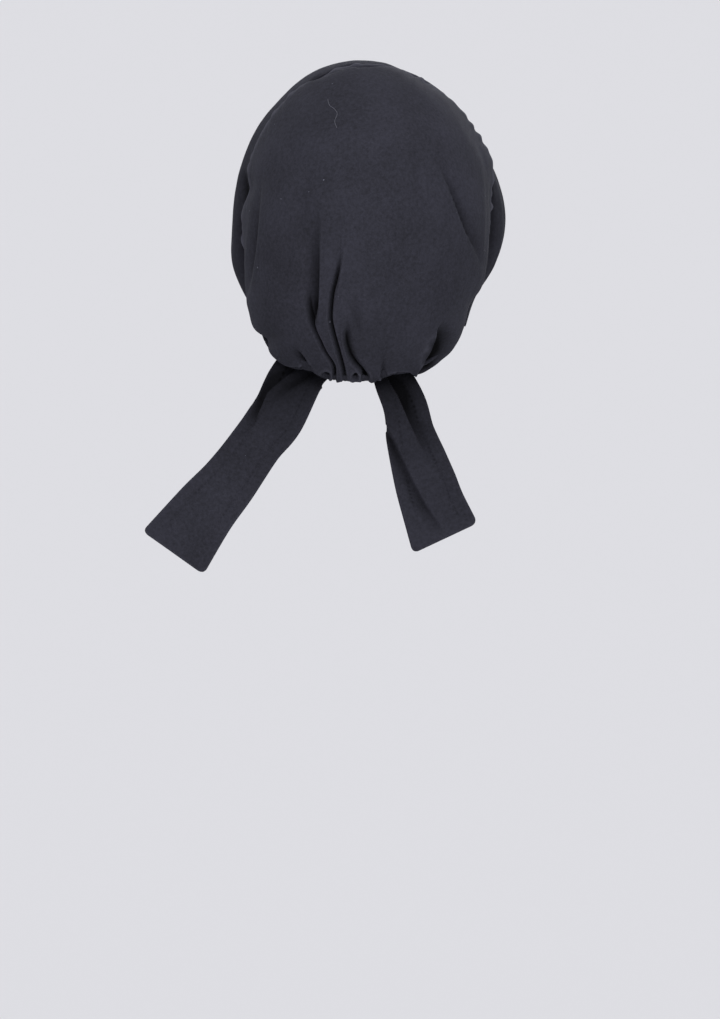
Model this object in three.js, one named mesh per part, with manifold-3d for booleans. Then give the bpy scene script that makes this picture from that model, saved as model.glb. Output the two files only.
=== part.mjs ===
// A tie-back underscarf cap in black cotton jersey, in the form it has when it is worn.
//
// A stretched front band runs over the head from ear to ear. A gathered bag is sewn to the band's
// rear edge and hangs full over the back of the head. An elastic casing draws the bag in at the
// nape. A strap leaves each lower corner of the band, passes under the casing and meets the other
// in a knot, and two flat tails hang from the knot.
//
// Units are millimetres. +Z is up, -Y is the face, +Y is the nape and +X is the wearer's left.
// The origin is where the wearer's crown carries the cloth, on the inner face of the band.

import * as THREE from 'three';
import { mergeVertices } from 'three/addons/utils/BufferGeometryUtils.js';
import Module from 'manifold-3d';

// Driving sizes of the worn form, measured inside the cloth from the ear line.
const CROWN_RISE = 163; // ear line up to the crown
const FORE_REACH = 105; // ear line forward to the front edge
const BAG_REACH = 131; // ear line back to the fullest point of the bag
const HEM_DROP = 60; // ear line down to the nape hem
const HALF_WIDTH = 93; // half of the widest arch of the band
const EAR_HALF_SPAN = 69; // half of the distance between the cap's two lower corners
const EAR_LINE_FORWARD = 14; // the ear line lies this far in front of the crown point

// The band's lower front corner, from the ear line.
const CORNER_FORWARD = 24;
const CORNER_DROP = 22;
const CORNER_IN = 2;

// Cloth, as thick as each piece is folded and sewn.
const BAG_WALL = 1.2;
const BAND_WALL = 1.8;
const CASING_WALL = 2.2;
const STRAP_WALL = 1.6;
const CASING_WIDTH = 9;
const CASING_TUCK = 0.9; // how far the casing's inner face sits inside the bag's
const CLEARANCE = 0.3; // between pieces that are sewn or tied together
const HEM_CLEARANCE = 0.9; // between the bag's hem and the casing that turns under it
const SEAM_PUFF = 2.5; // how far the bag swells out behind its seam
const FOLD_DEPTH = 4; // of the bag's and the band's folds
const TAIL_FOLD_DEPTH = 2.6;

// The knot, placed from the middle of the nape hem, and the straps and tails that leave it.
const KNOT_SIDE = 3; // from the cap's middle towards the wearer's left
const KNOT_INSIDE_HEM = 19;
const KNOT_ABOVE_HEM = 26;
const KNOT_WIDTH = 30;
const KNOT_DEPTH = 17;
const KNOT_HEIGHT = 24;
const STRAP_END_WIDTH = 13;
const LEFT_TAIL_FALL = 137;
const LEFT_TAIL_SPREAD = 119;
const RIGHT_TAIL_FALL = 130;
const RIGHT_TAIL_SPREAD = 44;
const TAIL_LEAN = 40; // how far the free ends hang back from the knot
const TAIL_WIDTH = 50; // at the free end
const TAIL_CORNER = 5; // radius of the free end's rounded corners

const COLOURS = { jersey: 0x2b2b31, tape: 0x27272c, knot: 0x242429 };

// The cap is a row of arches. Each runs from the left lower corner over the head to the right one.
// back and up place an arch's middle: back is a share of FORE_REACH where it is negative and of
// BAG_REACH where it is positive, and up is a share of CROWN_RISE or of HEM_DROP in the same way.
// width is a share of HALF_WIDTH, and so is lean, the middle's shift to the wearer's left.
// corner is how far the arch's feet have moved from the ear line to the band's lower front corner.
// full is under 1 where the arch is squarer than an ellipse.
const ARCHES = [
  { back: -1.0, up: 0.583, width: 0.87, lean: -0.06, corner: 1.0, full: 1.0 },
  { back: -0.895, up: 0.7, width: 0.91, lean: -0.06, corner: 0.86, full: 1.0 },
  { back: -0.733, up: 0.798, width: 0.955, lean: -0.08, corner: 0.7, full: 1.0 },
  { back: -0.543, up: 0.883, width: 0.995, lean: -0.08, corner: 0.54, full: 1.0 },
  { back: -0.333, up: 0.948, width: 1.01, lean: -0.06, corner: 0.38, full: 1.0 },
  { back: -0.105, up: 0.989, width: 0.995, lean: -0.02, corner: 0.22, full: 1.0 },
  { back: 0.106, up: 1.0, width: 0.965, lean: 0.02, corner: 0.08, full: 1.0 },
  { back: 0.304, up: 0.965, width: 0.92, lean: 0.03, corner: 0.0, full: 1.0 },
  { back: 0.502, up: 0.912, width: 0.89, lean: 0.03, corner: 0.0, full: 0.97 },
  { back: 0.677, up: 0.83, width: 0.875, lean: 0.02, corner: 0.0, full: 0.94 },
  { back: 0.821, up: 0.714, width: 0.868, lean: 0.02, corner: 0.0, full: 0.92 },
  { back: 0.92, up: 0.57, width: 0.86, lean: 0.02, corner: 0.0, full: 0.9 },
  { back: 0.981, up: 0.41, width: 0.854, lean: 0.03, corner: 0.0, full: 0.9 },
  { back: 1.0, up: 0.24, width: 0.845, lean: 0.05, corner: 0.0, full: 0.9 },
  { back: 0.989, up: 0.077, width: 0.835, lean: 0.08, corner: 0.0, full: 0.9 },
  { back: 0.95, up: -0.22, width: 0.81, lean: 0.11, corner: 0.0, full: 0.88 },
  { back: 0.88, up: -0.58, width: 0.785, lean: 0.12, corner: 0.0, full: 0.86 },
  { back: 0.785, up: -0.86, width: 0.765, lean: 0.12, corner: 0.0, full: 0.84 },
  { back: 0.68, up: -1.0, width: 0.755, lean: 0.11, corner: 0.0, full: 0.82 },
  { back: 0.585, up: -0.96, width: 0.75, lean: 0.11, corner: 0.0, full: 0.82 },
];
const FRONT_ARCH = 0;
const HEM_ARCH = 18;

// Where the bag is sewn to the band, as a place in the row of arches. side runs from -1 at the
// wearer's right corner to 1 at the left corner, and the seam sits further forward on the right.
const SEAM = [
  { side: -1.0, arch: 6.9 },
  { side: -0.75, arch: 6.8 },
  { side: -0.5, arch: 5.9 },
  { side: -0.25, arch: 6.3 },
  { side: 0.0, arch: 7.0 },
  { side: 0.25, arch: 7.3 },
  { side: 0.5, arch: 7.6 },
  { side: 0.75, arch: 7.5 },
  { side: 1.0, arch: 7.0 },
];

// The bag swells out behind its seam and falls in again above its hem, at these shares of the way.
const PUFF = { full: 0.14, falls: 0.7 };

// Where the tails come out under the hem they push it back up, by this many places in the row.
const HEM_LIFTS = [
  { side: 0.32, spread: 0.12, lift: 0.8 },
  { side: -0.2, spread: 0.07, lift: 0.7 },
];

// Folds of the bag. Each is a valley between two soft ridges. It runs from (top, high) through
// (turn, at) to (foot, low), where top, turn and foot are sides and high, at and low are shares
// of the way from the seam to the hem. width is in sides, and depth is a share of FOLD_DEPTH.
const BAG_FOLDS = [
  { top: 0.17, high: 0.5, turn: 0.2, at: 0.76, foot: 0.087, low: 1.0, width: 0.03, depth: 1.05 },
  { top: 0.1, high: 0.52, turn: 0.125, at: 0.76, foot: 0.035, low: 1.0, width: 0.026, depth: 1.05 },
  { top: 0.06, high: 0.72, turn: 0.03, at: 0.88, foot: -0.045, low: 1.0, width: 0.026, depth: 1.0 },
  { top: 0.27, high: 0.86, turn: 0.24, at: 0.93, foot: 0.18, low: 1.0, width: 0.03, depth: 0.75 },
  { top: -0.44, high: 0.8, turn: -0.42, at: 0.88, foot: -0.29, low: 1.0, width: 0.045, depth: 1.5 },
  { top: -0.29, high: 0.28, turn: -0.37, at: 0.45, foot: -0.5, low: 0.66, width: 0.05, depth: 0.4 },
  { top: 0.62, high: 0.12, turn: 0.68, at: 0.4, foot: 0.74, low: 0.72, width: 0.05, depth: 0.4 },
  { top: -0.13, high: 0.9, turn: -0.13, at: 0.95, foot: -0.14, low: 1.0, width: 0.026, depth: 0.6 },
  { top: -0.34, high: 0.78, turn: -0.35, at: 0.9, foot: -0.36, low: 1.0, width: 0.05, depth: -1.0 },
];
const FLATTER_AT_HEM = 0.4; // the share of the folds' depth that is left at the hem
const FLATTER_FROM = 0.93; // the share of the way to the hem where they begin to flatten

// Folds of the band, in the same columns. A fold of less than no depth is a roll that stands out.
const BAND_FOLDS = [
  { top: 0.84, high: -0.1, turn: 0.86, at: 0.5, foot: 0.87, low: 0.99, width: 0.09, depth: -1.75 },
  { top: 0.64, high: 0.3, turn: 0.7, at: 0.6, foot: 0.78, low: 0.95, width: 0.04, depth: 0.6 },
];

// The tails, from the knot to the free end. from is where a tail leaves the knot, as a share of
// the knot's width. side, back and down are shares of the tail's own spread, lean and fall, and
// width is a share of TAIL_WIDTH. turn is how many degrees the tail's face looks to the wearer's
// left, and slant how many degrees the free end is cut off square. The folds' columns are as the
// bag's, over the tail's width and length, with depth a share of TAIL_FOLD_DEPTH.
const TAILS = {
  left: {
    from: 0.27,
    fall: LEFT_TAIL_FALL,
    spread: LEFT_TAIL_SPREAD,
    slant: 0,
    rows: [
      { side: 0.0, back: 0.0, down: 0.0, width: 0.3, turn: 0 },
      { side: 0.14, back: -0.13, down: 0.05, width: 0.5, turn: 20 },
      { side: 0.296, back: -0.25, down: 0.132, width: 0.78, turn: 28 },
      { side: 0.432, back: -0.09, down: 0.356, width: 0.8, turn: 20 },
      { side: 0.549, back: 0.11, down: 0.49, width: 0.72, turn: 12 },
      { side: 0.702, back: 0.37, down: 0.671, width: 0.78, turn: 9 },
      { side: 0.842, back: 0.64, down: 0.816, width: 0.86, turn: 7 },
      { side: 1.015, back: 0.93, down: 1.02, width: 1.0, turn: 6 },
    ],
    folds: [
      { top: 0.4, high: 0.1, turn: 0.3, at: 0.28, foot: 0.12, low: 0.62, width: 0.07, depth: 0.9 },
      { top: 0.6, high: 0.05, turn: 0.5, at: 0.2, foot: 0.42, low: 0.34, width: 0.08, depth: 0.75 },
    ],
  },
  right: {
    from: -0.27,
    fall: RIGHT_TAIL_FALL,
    spread: -RIGHT_TAIL_SPREAD,
    slant: -7,
    rows: [
      { side: 0.0, back: 0.0, down: 0.0, width: 0.3, turn: 0 },
      { side: 0.13, back: -0.04, down: 0.07, width: 0.42, turn: -6 },
      { side: 0.259, back: -0.09, down: 0.173, width: 0.55, turn: -12 },
      { side: 0.436, back: 0.0, down: 0.312, width: 0.61, turn: -10 },
      { side: 0.518, back: 0.23, down: 0.459, width: 0.66, turn: -7 },
      { side: 0.633, back: 0.46, down: 0.608, width: 0.77, turn: -5 },
      { side: 0.722, back: 0.66, down: 0.715, width: 0.835, turn: -4 },
      { side: 0.828, back: 0.87, down: 0.836, width: 0.87, turn: -4 },
      { side: 1.0, back: 1.07, down: 1.0, width: 0.957, turn: -4 },
    ],
    folds: [
      { top: 0.5, high: 0.1, turn: 0.6, at: 0.3, foot: 0.9, low: 0.6, width: 0.1, depth: 1.15 },
      { top: 0.1, high: 0.3, turn: 0.25, at: 0.6, foot: 0.45, low: 0.98, width: 0.08, depth: 1.0 },
    ],
  },
};

// How finely each piece is faceted.
const CELLS = {
  arch: { right: 17, middle: 22, left: 15 },
  bag: { puff: 3, back: 9, gathers: 9 },
  band: 8,
  casing: 2,
  strap: { across: 4, along: 14 },
  tail: { across: 8, along: 17, corner: 3 },
  knot: { around: 20, down: 12 },
};

// The arches stop at this side, next to the straps, and their cells are narrow over the gathers.
const CORNER_SIDE = 0.96;
const CASING_SIDE = 0.87; // the casing ends before the corners
const GATHERED = { right: -0.16, left: 0.26 };
const GATHERS_START = 0.76; // share of the way from the seam to the hem

const { clamp, lerp, smoothstep } = THREE.MathUtils;
const earLine = new THREE.Vector3(EAR_HALF_SPAN, -EAR_LINE_FORWARD, -CROWN_RISE);

// Reads one column of a table at a place between its rows, with a smooth curve through the rows.
function between(rows, column, place) {
  const last = rows.length - 1;
  const at = clamp(place, 0, last);
  const i = Math.min(Math.floor(at), last - 1);
  const value = (k) => rows[clamp(k, 0, last)][column];
  const [a, b, c, d] = [value(i - 1), value(i), value(i + 1), value(i + 2)];
  const t = at - i;
  const bend = (2 * a - 5 * b + 4 * c - d) * t * t + (3 * b - a - 3 * c + d) * t ** 3;
  return b + 0.5 * ((c - a) * t + bend);
}

// Each arch's sizes in millimetres: its middle, its half width and its feet.
const arches = ARCHES.map(({ back, up, width, lean, corner, full }) => ({
  x: lean * HALF_WIDTH,
  y: earLine.y + back * (back < 0 ? FORE_REACH : BAG_REACH),
  z: earLine.z + up * (up < 0 ? HEM_DROP : CROWN_RISE),
  halfWidth: Math.max(width * HALF_WIDTH, EAR_HALF_SPAN),
  footX: earLine.x - corner * CORNER_IN,
  footY: earLine.y - corner * CORNER_FORWARD,
  footZ: earLine.z - corner * CORNER_DROP,
  full,
}));

// The worn form: the point at a side from -1 to 1 of the arch at a place in the row. An arch is
// a circle's horseshoe, from one foot round to the other, stretched to its width and its middle.
function archPoint(side, place) {
  const [x, y, z, halfWidth, footX, footY, footZ, full] = [
    'x', 'y', 'z', 'halfWidth', 'footX', 'footY', 'footZ', 'full',
  ].map((column) => between(arches, column, place));
  const footAngle = Math.PI - Math.asin(Math.min(1, footX / halfWidth));
  const angle = side * footAngle;
  const rise = (Math.cos(angle) - Math.cos(footAngle)) / (1 - Math.cos(footAngle));
  const share = Math.max(rise, 0) ** full;
  return new THREE.Vector3(
    halfWidth * Math.sin(angle) + x * share,
    lerp(footY, y, share),
    lerp(footZ, z, share),
  );
}

const seamArch = (side) => between(SEAM, 'arch', ((side + 1) / 2) * (SEAM.length - 1));

// The place of the hem in the row of arches.
function hemArch(side) {
  const bell = ({ side: middle, spread }) => Math.exp(-(((side - middle) / spread) ** 2));
  return HEM_LIFTS.reduce((arch, lift) => arch - lift.lift * bell(lift), HEM_ARCH);
}

// The place in the row of arches that lies a distance behind another, measured on the cloth.
function placeBehind(side, arch, distance) {
  const near = 0.25 * Math.sign(distance);
  const reach = archPoint(side, arch).distanceTo(archPoint(side, arch + near));
  return arch + (near * Math.abs(distance)) / reach;
}

// Height of a set of folds at a place on a cloth, as a share of the folds' named depth. across
// runs over the cloth and along runs down it.
function foldRelief(folds, across, along) {
  const FADES_FROM = 0.4; // share of a fold's lower part after which it fades, if it ends
  let relief = 0;
  for (const { top, high, turn, at, foot, low, width, depth } of folds) {
    const upper = along < at;
    const part = upper ? (along - high) / (at - high) : (along - at) / (low - at);
    const middle = lerp(upper ? top : turn, upper ? turn : foot, smoothstep(part, 0, 1));
    const off = (across - middle) / width;
    const fadeIn = smoothstep(along, high, at);
    const fadeOut = low < 1 ? 1 - smoothstep(along, lerp(at, low, FADES_FROM), low) : 1;
    relief -= depth * fadeIn * fadeOut * (1 - 0.5 * off * off) * Math.exp(-0.5 * off * off);
  }
  return relief;
}

const SMALL_STEP = 1e-3;

// The unit normal of a surface, on the side that its two directions turn round.
function normalOf(surface, u, v) {
  const across = surface(u + SMALL_STEP, v).sub(surface(u - SMALL_STEP, v));
  const along = surface(u, v + SMALL_STEP).sub(surface(u, v - SMALL_STEP));
  return across.cross(along).normalize();
}

// A surface moved along its own normal by a relief.
function raised(surface, relief) {
  return (u, v) => surface(u, v).addScaledVector(normalOf(surface, u, v), relief(u, v));
}

const stops = (from, to, cells) =>
  Array.from({ length: cells + 1 }, (_, i) => lerp(from, to, i / cells));

// A closed solid between a cloth's inner face and the same face moved out by the wall.
function clothSolid(surface, uStops, vStops, wall) {
  const rows = vStops.length;
  const inner = uStops.flatMap((u) => vStops.map((v) => surface(u, v)));
  const outer = uStops.flatMap((u) =>
    vStops.map((v) => surface(u, v).addScaledVector(normalOf(surface, u, v), wall)),
  );
  const faces = [];
  const quad = (a, b, c, d) => faces.push(a, b, c, a, c, d);
  const at = (layer, i, j) => layer * inner.length + i * rows + j;
  const [INNER, OUTER] = [0, 1];
  const [lastU, lastV] = [uStops.length - 1, rows - 1];
  for (let i = 0; i < lastU; i += 1) {
    for (let j = 0; j < lastV; j += 1) {
      quad(at(OUTER, i, j), at(OUTER, i + 1, j), at(OUTER, i + 1, j + 1), at(OUTER, i, j + 1));
      quad(at(INNER, i, j), at(INNER, i, j + 1), at(INNER, i + 1, j + 1), at(INNER, i + 1, j));
    }
    quad(at(INNER, i, 0), at(INNER, i + 1, 0), at(OUTER, i + 1, 0), at(OUTER, i, 0));
    quad(at(OUTER, i, lastV), at(OUTER, i + 1, lastV), at(INNER, i + 1, lastV), at(INNER, i, lastV));
  }
  for (let j = 0; j < lastV; j += 1) {
    quad(at(OUTER, 0, j), at(OUTER, 0, j + 1), at(INNER, 0, j + 1), at(INNER, 0, j));
    quad(at(INNER, lastU, j), at(INNER, lastU, j + 1), at(OUTER, lastU, j + 1), at(OUTER, lastU, j));
  }
  const geometry = new THREE.BufferGeometry().setFromPoints([...inner, ...outer]);
  geometry.setIndex(faces);
  geometry.computeVertexNormals();
  return geometry;
}

// The gathered bag, from the seam to the hem. It rises from the seam in a soft roll.
function bagSurface() {
  const form = (side, down) => archPoint(side, lerp(seamArch(side), hemArch(side), down));
  const relief = (side, down) =>
    SEAM_PUFF * smoothstep(down, 0, PUFF.full) * (1 - smoothstep(down, PUFF.falls, 1)) +
    FOLD_DEPTH *
      foldRelief(BAG_FOLDS, side, down) *
      lerp(1, FLATTER_AT_HEM, smoothstep(down, FLATTER_FROM, 1));
  return raised(form, relief);
}

// The front band, from its front edge to the seam.
function bandSurface() {
  const form = (side, back) => {
    const rear = placeBehind(side, seamArch(side), -CLEARANCE);
    return archPoint(side, lerp(FRONT_ARCH, rear, back));
  };
  return raised(form, (side, back) => FOLD_DEPTH * foldRelief(BAND_FOLDS, side, back));
}

// The elastic casing. It is tucked in under the hem and its folds run out towards the neck.
function casingSurface() {
  const form = (side, inward) => {
    const distance = lerp(HEM_CLEARANCE, CASING_WIDTH, inward);
    return archPoint(side, placeBehind(side, hemArch(side), distance));
  };
  const relief = (side, inward) =>
    FOLD_DEPTH * FLATTER_AT_HEM * foldRelief(BAG_FOLDS, side, 1) * (1 - smoothstep(inward, 0, 1)) -
    CASING_TUCK;
  return raised(form, relief);
}

const hemMiddle = archPoint(0, HEM_ARCH);
const knotMiddle = new THREE.Vector3(
  KNOT_SIDE,
  hemMiddle.y - KNOT_INSIDE_HEM,
  hemMiddle.z + KNOT_ABOVE_HEM,
);

// A point of the knot, with shares of its width, depth and height from its middle.
function knotPoint(side, back, up) {
  return new THREE.Vector3(side * KNOT_WIDTH, back * KNOT_DEPTH, up * KNOT_HEIGHT).add(knotMiddle);
}

// A strap, from the band's lower corner round the neck to the knot. hand is 1 on the wearer's
// left and -1 on the right. Each thread of it is a curve that leaves the band in the band's own
// direction and comes to the knot level, and the threads draw together on the way.
function strapSurface(hand) {
  const REACH = 0.4; // of each end's straight part, as a share of the way to the knot
  const END = { side: 0, back: -0.12, up: 0.04 };
  const band = bandSurface();
  const arrival = new THREE.Vector3(-hand, 0.12, -0.1).normalize();
  return (along, across) => {
    const share = hand > 0 ? across : 1 - across;
    const corner = band(hand * CORNER_SIDE, share);
    const inside = band(hand * (CORNER_SIDE - SMALL_STEP), share);
    const outwards = corner.clone().sub(inside).normalize();
    const start = corner.clone().addScaledVector(outwards, CLEARANCE);
    const end = knotPoint(END.side, END.back, END.up);
    end.z += STRAP_END_WIDTH * (share - 0.5);
    const reach = REACH * start.distanceTo(end);
    const curve = new THREE.CubicBezierCurve3(
      start,
      start.clone().addScaledVector(outwards, reach),
      end.clone().addScaledVector(arrival, -reach),
      end,
    );
    return curve.getPoint(clamp(along, 0, 1));
  };
}

const tailLength = ({ fall, spread }) => Math.hypot(fall, spread, TAIL_LEAN);

// A tail, from the knot to its free end, with its folds. Its corners are rounded at the end.
function tailSurface(tail) {
  const { from, fall, spread, slant, rows, folds } = tail;
  const last = rows.length - 1;
  const leave = knotPoint(from, 0.06, -0.08);
  const middle = (along) =>
    new THREE.Vector3(
      leave.x + spread * between(rows, 'side', along * last),
      leave.y + TAIL_LEAN * between(rows, 'back', along * last),
      leave.z - fall * between(rows, 'down', along * last),
    );
  const flat = (along, across) => {
    const place = middle(along);
    const ahead = middle(along + SMALL_STEP).sub(middle(along - SMALL_STEP)).normalize();
    const turn = THREE.MathUtils.degToRad(between(rows, 'turn', along * last));
    const facing = new THREE.Vector3(Math.sin(turn), Math.cos(turn), 0);
    const sideways = facing.cross(ahead).normalize();
    const toEnd = clamp((1 - along) * tailLength(tail), 0, TAIL_CORNER);
    const inset = TAIL_CORNER - Math.sqrt(TAIL_CORNER ** 2 - (TAIL_CORNER - toEnd) ** 2);
    const width = TAIL_WIDTH * between(rows, 'width', along * last) - 2 * inset;
    const offset = (across - 0.5) * width;
    const slantBy = offset * Math.tan(THREE.MathUtils.degToRad(slant)) * along ** 3;
    return place.addScaledVector(sideways, offset).addScaledVector(ahead, slantBy);
  };
  return raised(flat, (along, across) => TAIL_FOLD_DEPTH * foldRelief(folds, across, along));
}

// Even stops down a tail, then stops round the quarter circle of its corners.
function tailStops(tail) {
  const corner = TAIL_CORNER / tailLength(tail);
  const quarter = stops(0, Math.PI / 2, CELLS.tail.corner).slice(1);
  const round = quarter.map((angle) => 1 - corner * (1 - Math.sin(angle)));
  return [...stops(0, 1 - corner, CELLS.tail.along), ...round];
}

// The knot: a plain lump with the wraps of the two straps as ridges round it.
function knotGeometry(grow) {
  const { around, down } = CELLS.knot;
  const geometry = new THREE.SphereGeometry(1, around, down);
  geometry.deleteAttribute('normal');
  geometry.deleteAttribute('uv');
  const lump = mergeVertices(geometry);
  const points = lump.getAttribute('position');
  const [WRAPS, RIDGE] = [3, 0.07];
  for (let i = 0; i < points.count; i += 1) {
    const p = new THREE.Vector3().fromBufferAttribute(points, i);
    const turn = Math.atan2(p.z, p.y);
    const ridge = 1 + RIDGE * Math.cos(WRAPS * Math.PI * p.x + turn) * Math.hypot(p.y, p.z);
    points.setXYZ(
      i,
      p.x * (KNOT_WIDTH / 2 + grow) * ridge,
      p.y * (KNOT_DEPTH / 2 + grow) * ridge,
      p.z * (KNOT_HEIGHT / 2 + grow) * ridge,
    );
  }
  return lump;
}

const wasm = await Module();
wasm.setup();

// A three.js geometry as a manifold solid, and back again.
function toSolid(geometry) {
  const welded = mergeVertices(geometry.clone().deleteAttribute('normal'));
  const vertProperties = new Float32Array(welded.getAttribute('position').array);
  const triVerts = new Uint32Array(welded.getIndex().array);
  return new wasm.Manifold(new wasm.Mesh({ numProp: 3, vertProperties, triVerts }));
}

function fromSolid(solid) {
  const { vertProperties, triVerts } = solid.getMesh();
  const geometry = new THREE.BufferGeometry();
  geometry.setAttribute('position', new THREE.BufferAttribute(vertProperties, 3));
  geometry.setIndex(new THREE.BufferAttribute(triVerts, 1));
  geometry.computeVertexNormals();
  return geometry;
}

// What is left of a piece once the knot, with its clearance, is taken out of it.
function clearOfKnot(geometry) {
  const knot = knotGeometry(CLEARANCE).translate(knotMiddle.x, knotMiddle.y, knotMiddle.z);
  return fromSolid(toSolid(geometry).subtract(toSolid(knot)));
}

function cloth(colour) {
  return new THREE.MeshStandardMaterial({ color: colour, roughness: 0.95, metalness: 0 });
}

const cap = new THREE.Group();

function addPiece(name, geometry, colour) {
  const mesh = new THREE.Mesh(geometry, cloth(colour));
  mesh.name = name;
  cap.add(mesh);
  return mesh;
}

// Runs of even stops, one after the other: each run goes to its own end in its own count.
function stopRuns(from, ...runs) {
  const list = [from];
  for (const { to, cells } of runs) list.push(...stops(list.at(-1), to, cells).slice(1));
  return list;
}

const sides = stopRuns(
  -CORNER_SIDE,
  { to: GATHERED.right, cells: CELLS.arch.right },
  { to: GATHERED.left, cells: CELLS.arch.middle },
  { to: CORNER_SIDE, cells: CELLS.arch.left },
);
const casingSides = sides.filter((side) => Math.abs(side) < CASING_SIDE);
const bagRows = stopRuns(
  0,
  { to: PUFF.full, cells: CELLS.bag.puff },
  { to: GATHERS_START, cells: CELLS.bag.back },
  { to: 1, cells: CELLS.bag.gathers },
);
addPiece(
  'crown_bag',
  clothSolid(bagSurface(), sides, bagRows, BAG_WALL),
  COLOURS.jersey,
);

addPiece(
  'front_band',
  clothSolid(bandSurface(), sides, stops(0, 1, CELLS.band), BAND_WALL),
  COLOURS.jersey,
);

addPiece(
  'nape_casing',
  clothSolid(casingSurface(), casingSides, stops(0, 1, CELLS.casing), CASING_WALL),
  COLOURS.tape,
);

for (const [name, hand] of [['strap_left', 1], ['strap_right', -1]]) {
  const { across, along } = CELLS.strap;
  const solid = clothSolid(strapSurface(hand), stops(0, 1, along), stops(0, 1, across), STRAP_WALL);
  addPiece(name, clearOfKnot(solid), COLOURS.jersey);
}

for (const [hand, tail] of Object.entries(TAILS)) {
  const across = stops(0, 1, CELLS.tail.across);
  const solid = clothSolid(tailSurface(tail), tailStops(tail), across, STRAP_WALL);
  addPiece(`tail_${hand}`, clearOfKnot(solid), COLOURS.jersey);
}

const knot = addPiece('tie_knot', knotGeometry(0), COLOURS.knot);
knot.position.copy(knotMiddle);

export default cap;
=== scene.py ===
# %% [markdown]
# # A tie-back underscarf cap, as it looks when it is worn
#
# The real cap is sewn from thin black cotton jersey. A stretched band crosses the head from ear
# to ear, a gathered bag hangs full over the back, and narrow elastic draws the bag in at the nape.
# A strap leaves each lower corner of the band. The two meet in a knot under the bag's hem, and a
# flat tail hangs from each side of the knot.
#
# This lesson dresses the plain solids of the cap with cloth. Each piece of cloth is a grid of
# points that a formula works out, so every fold below can be changed by changing one number.

import math

import bpy
import numpy as np
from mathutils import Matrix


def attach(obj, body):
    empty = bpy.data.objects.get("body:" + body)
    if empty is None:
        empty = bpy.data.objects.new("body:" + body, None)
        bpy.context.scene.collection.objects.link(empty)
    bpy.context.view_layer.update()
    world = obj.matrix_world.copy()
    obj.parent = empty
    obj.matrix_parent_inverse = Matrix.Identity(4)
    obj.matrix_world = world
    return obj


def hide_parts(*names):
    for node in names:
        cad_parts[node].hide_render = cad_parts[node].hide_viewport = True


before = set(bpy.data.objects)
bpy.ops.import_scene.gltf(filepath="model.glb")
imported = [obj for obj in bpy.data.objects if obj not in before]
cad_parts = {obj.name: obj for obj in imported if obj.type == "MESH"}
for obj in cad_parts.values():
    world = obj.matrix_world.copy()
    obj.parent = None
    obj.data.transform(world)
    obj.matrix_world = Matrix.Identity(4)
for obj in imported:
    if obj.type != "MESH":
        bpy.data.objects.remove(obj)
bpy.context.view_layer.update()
print("pieces in the frame:", sorted(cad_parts))

# %% [markdown]
# ## Units and chance
#
# Sizes below are in millimetres, because a tailor thinks in them. Blender wants metres, so one
# value turns the one into the other. Small irregularities make cloth look real. They come from
# waves with chosen seeds, so the cap comes out the same each time the lesson runs.

# %% Units and seeded waves
MM = 0.001


def wander(place, length, seed):
    """A gentle, irregular wave from about -1 to 1 over a place in millimetres.
    It adds five sine waves whose lengths lie near the given one and whose phases are drawn."""
    draw = np.random.default_rng(seed)
    lengths = length * draw.uniform(0.6, 1.8, 5)
    phases = draw.uniform(0, 2 * np.pi, 5)
    waves = [np.sin(2 * np.pi * place / step + phase) for step, phase in zip(lengths, phases)]
    return sum(waves) / 2.4


def smoothstep(value, start, end):
    """0 before start, 1 after end, and 3t² - 2t³ between them."""
    t = np.clip((value - start) / (end - start), 0, 1)
    return t * t * (3 - 2 * t)


def bell(value, middle, spread):
    """A bell curve: exp(-((value - middle) / spread)²)."""
    return np.exp(-(((value - middle) / spread) ** 2))


# %% [markdown]
# ## The camera
#
# The photograph was taken from straight behind, with the lens about level with the shoulders and
# two degrees round to one side. A long lens from 2.4 metres keeps the cap's sides nearly parallel.
# The camera comes first, because the stray thread is laid on the cloth through it.

# %% Camera
CAMERA_DISTANCE = 2400
CAMERA_SIDE = 4.1
CAMERA_HEIGHT = -309.5
CAMERA_TURN = math.radians(2)
PHOTO_SCALE = 0.69  # millimetres for each pixel, on the plane where the scale was taken
SCALE_PLANE = 10  # that plane's distance behind the crown
PHOTO_LONG_SIDE = 1019  # pixels
SENSOR = 36

turn_cos, turn_sin = math.cos(CAMERA_TURN), math.sin(CAMERA_TURN)
pixels_to_subject = (CAMERA_DISTANCE - SCALE_PLANE) / PHOTO_SCALE
camera_data = bpy.data.cameras.new("camera")
camera_data.sensor_width = SENSOR
camera_data.lens = SENSOR * pixels_to_subject / PHOTO_LONG_SIDE
camera = bpy.data.objects.new("camera", camera_data)
bpy.context.scene.collection.objects.link(camera)
camera.location = (
    (CAMERA_SIDE * turn_cos + CAMERA_DISTANCE * turn_sin) * MM,
    (CAMERA_DISTANCE * turn_cos - CAMERA_SIDE * turn_sin) * MM,
    CAMERA_HEIGHT * MM,
)
camera.rotation_euler = (math.radians(90), 0, math.radians(180) - CAMERA_TURN)
bpy.context.scene.camera = camera
print("lens", round(camera_data.lens, 1), "mm")

PHOTO_SIZE = np.array([720, 1019])


def seen_at(points):
    """Where the camera sees points, in the photograph's pixels. The points are turned into the
    camera's axes and divided by their distance from it."""
    x, y, z = np.moveaxis(np.asarray(points, float), -1, 0)
    across = x * turn_cos - y * turn_sin - CAMERA_SIDE
    distance = CAMERA_DISTANCE - (x * turn_sin + y * turn_cos)
    offset = np.stack([across, z - CAMERA_HEIGHT], -1) * (pixels_to_subject / distance)[..., None]
    return PHOTO_SIZE / 2 - offset

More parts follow.
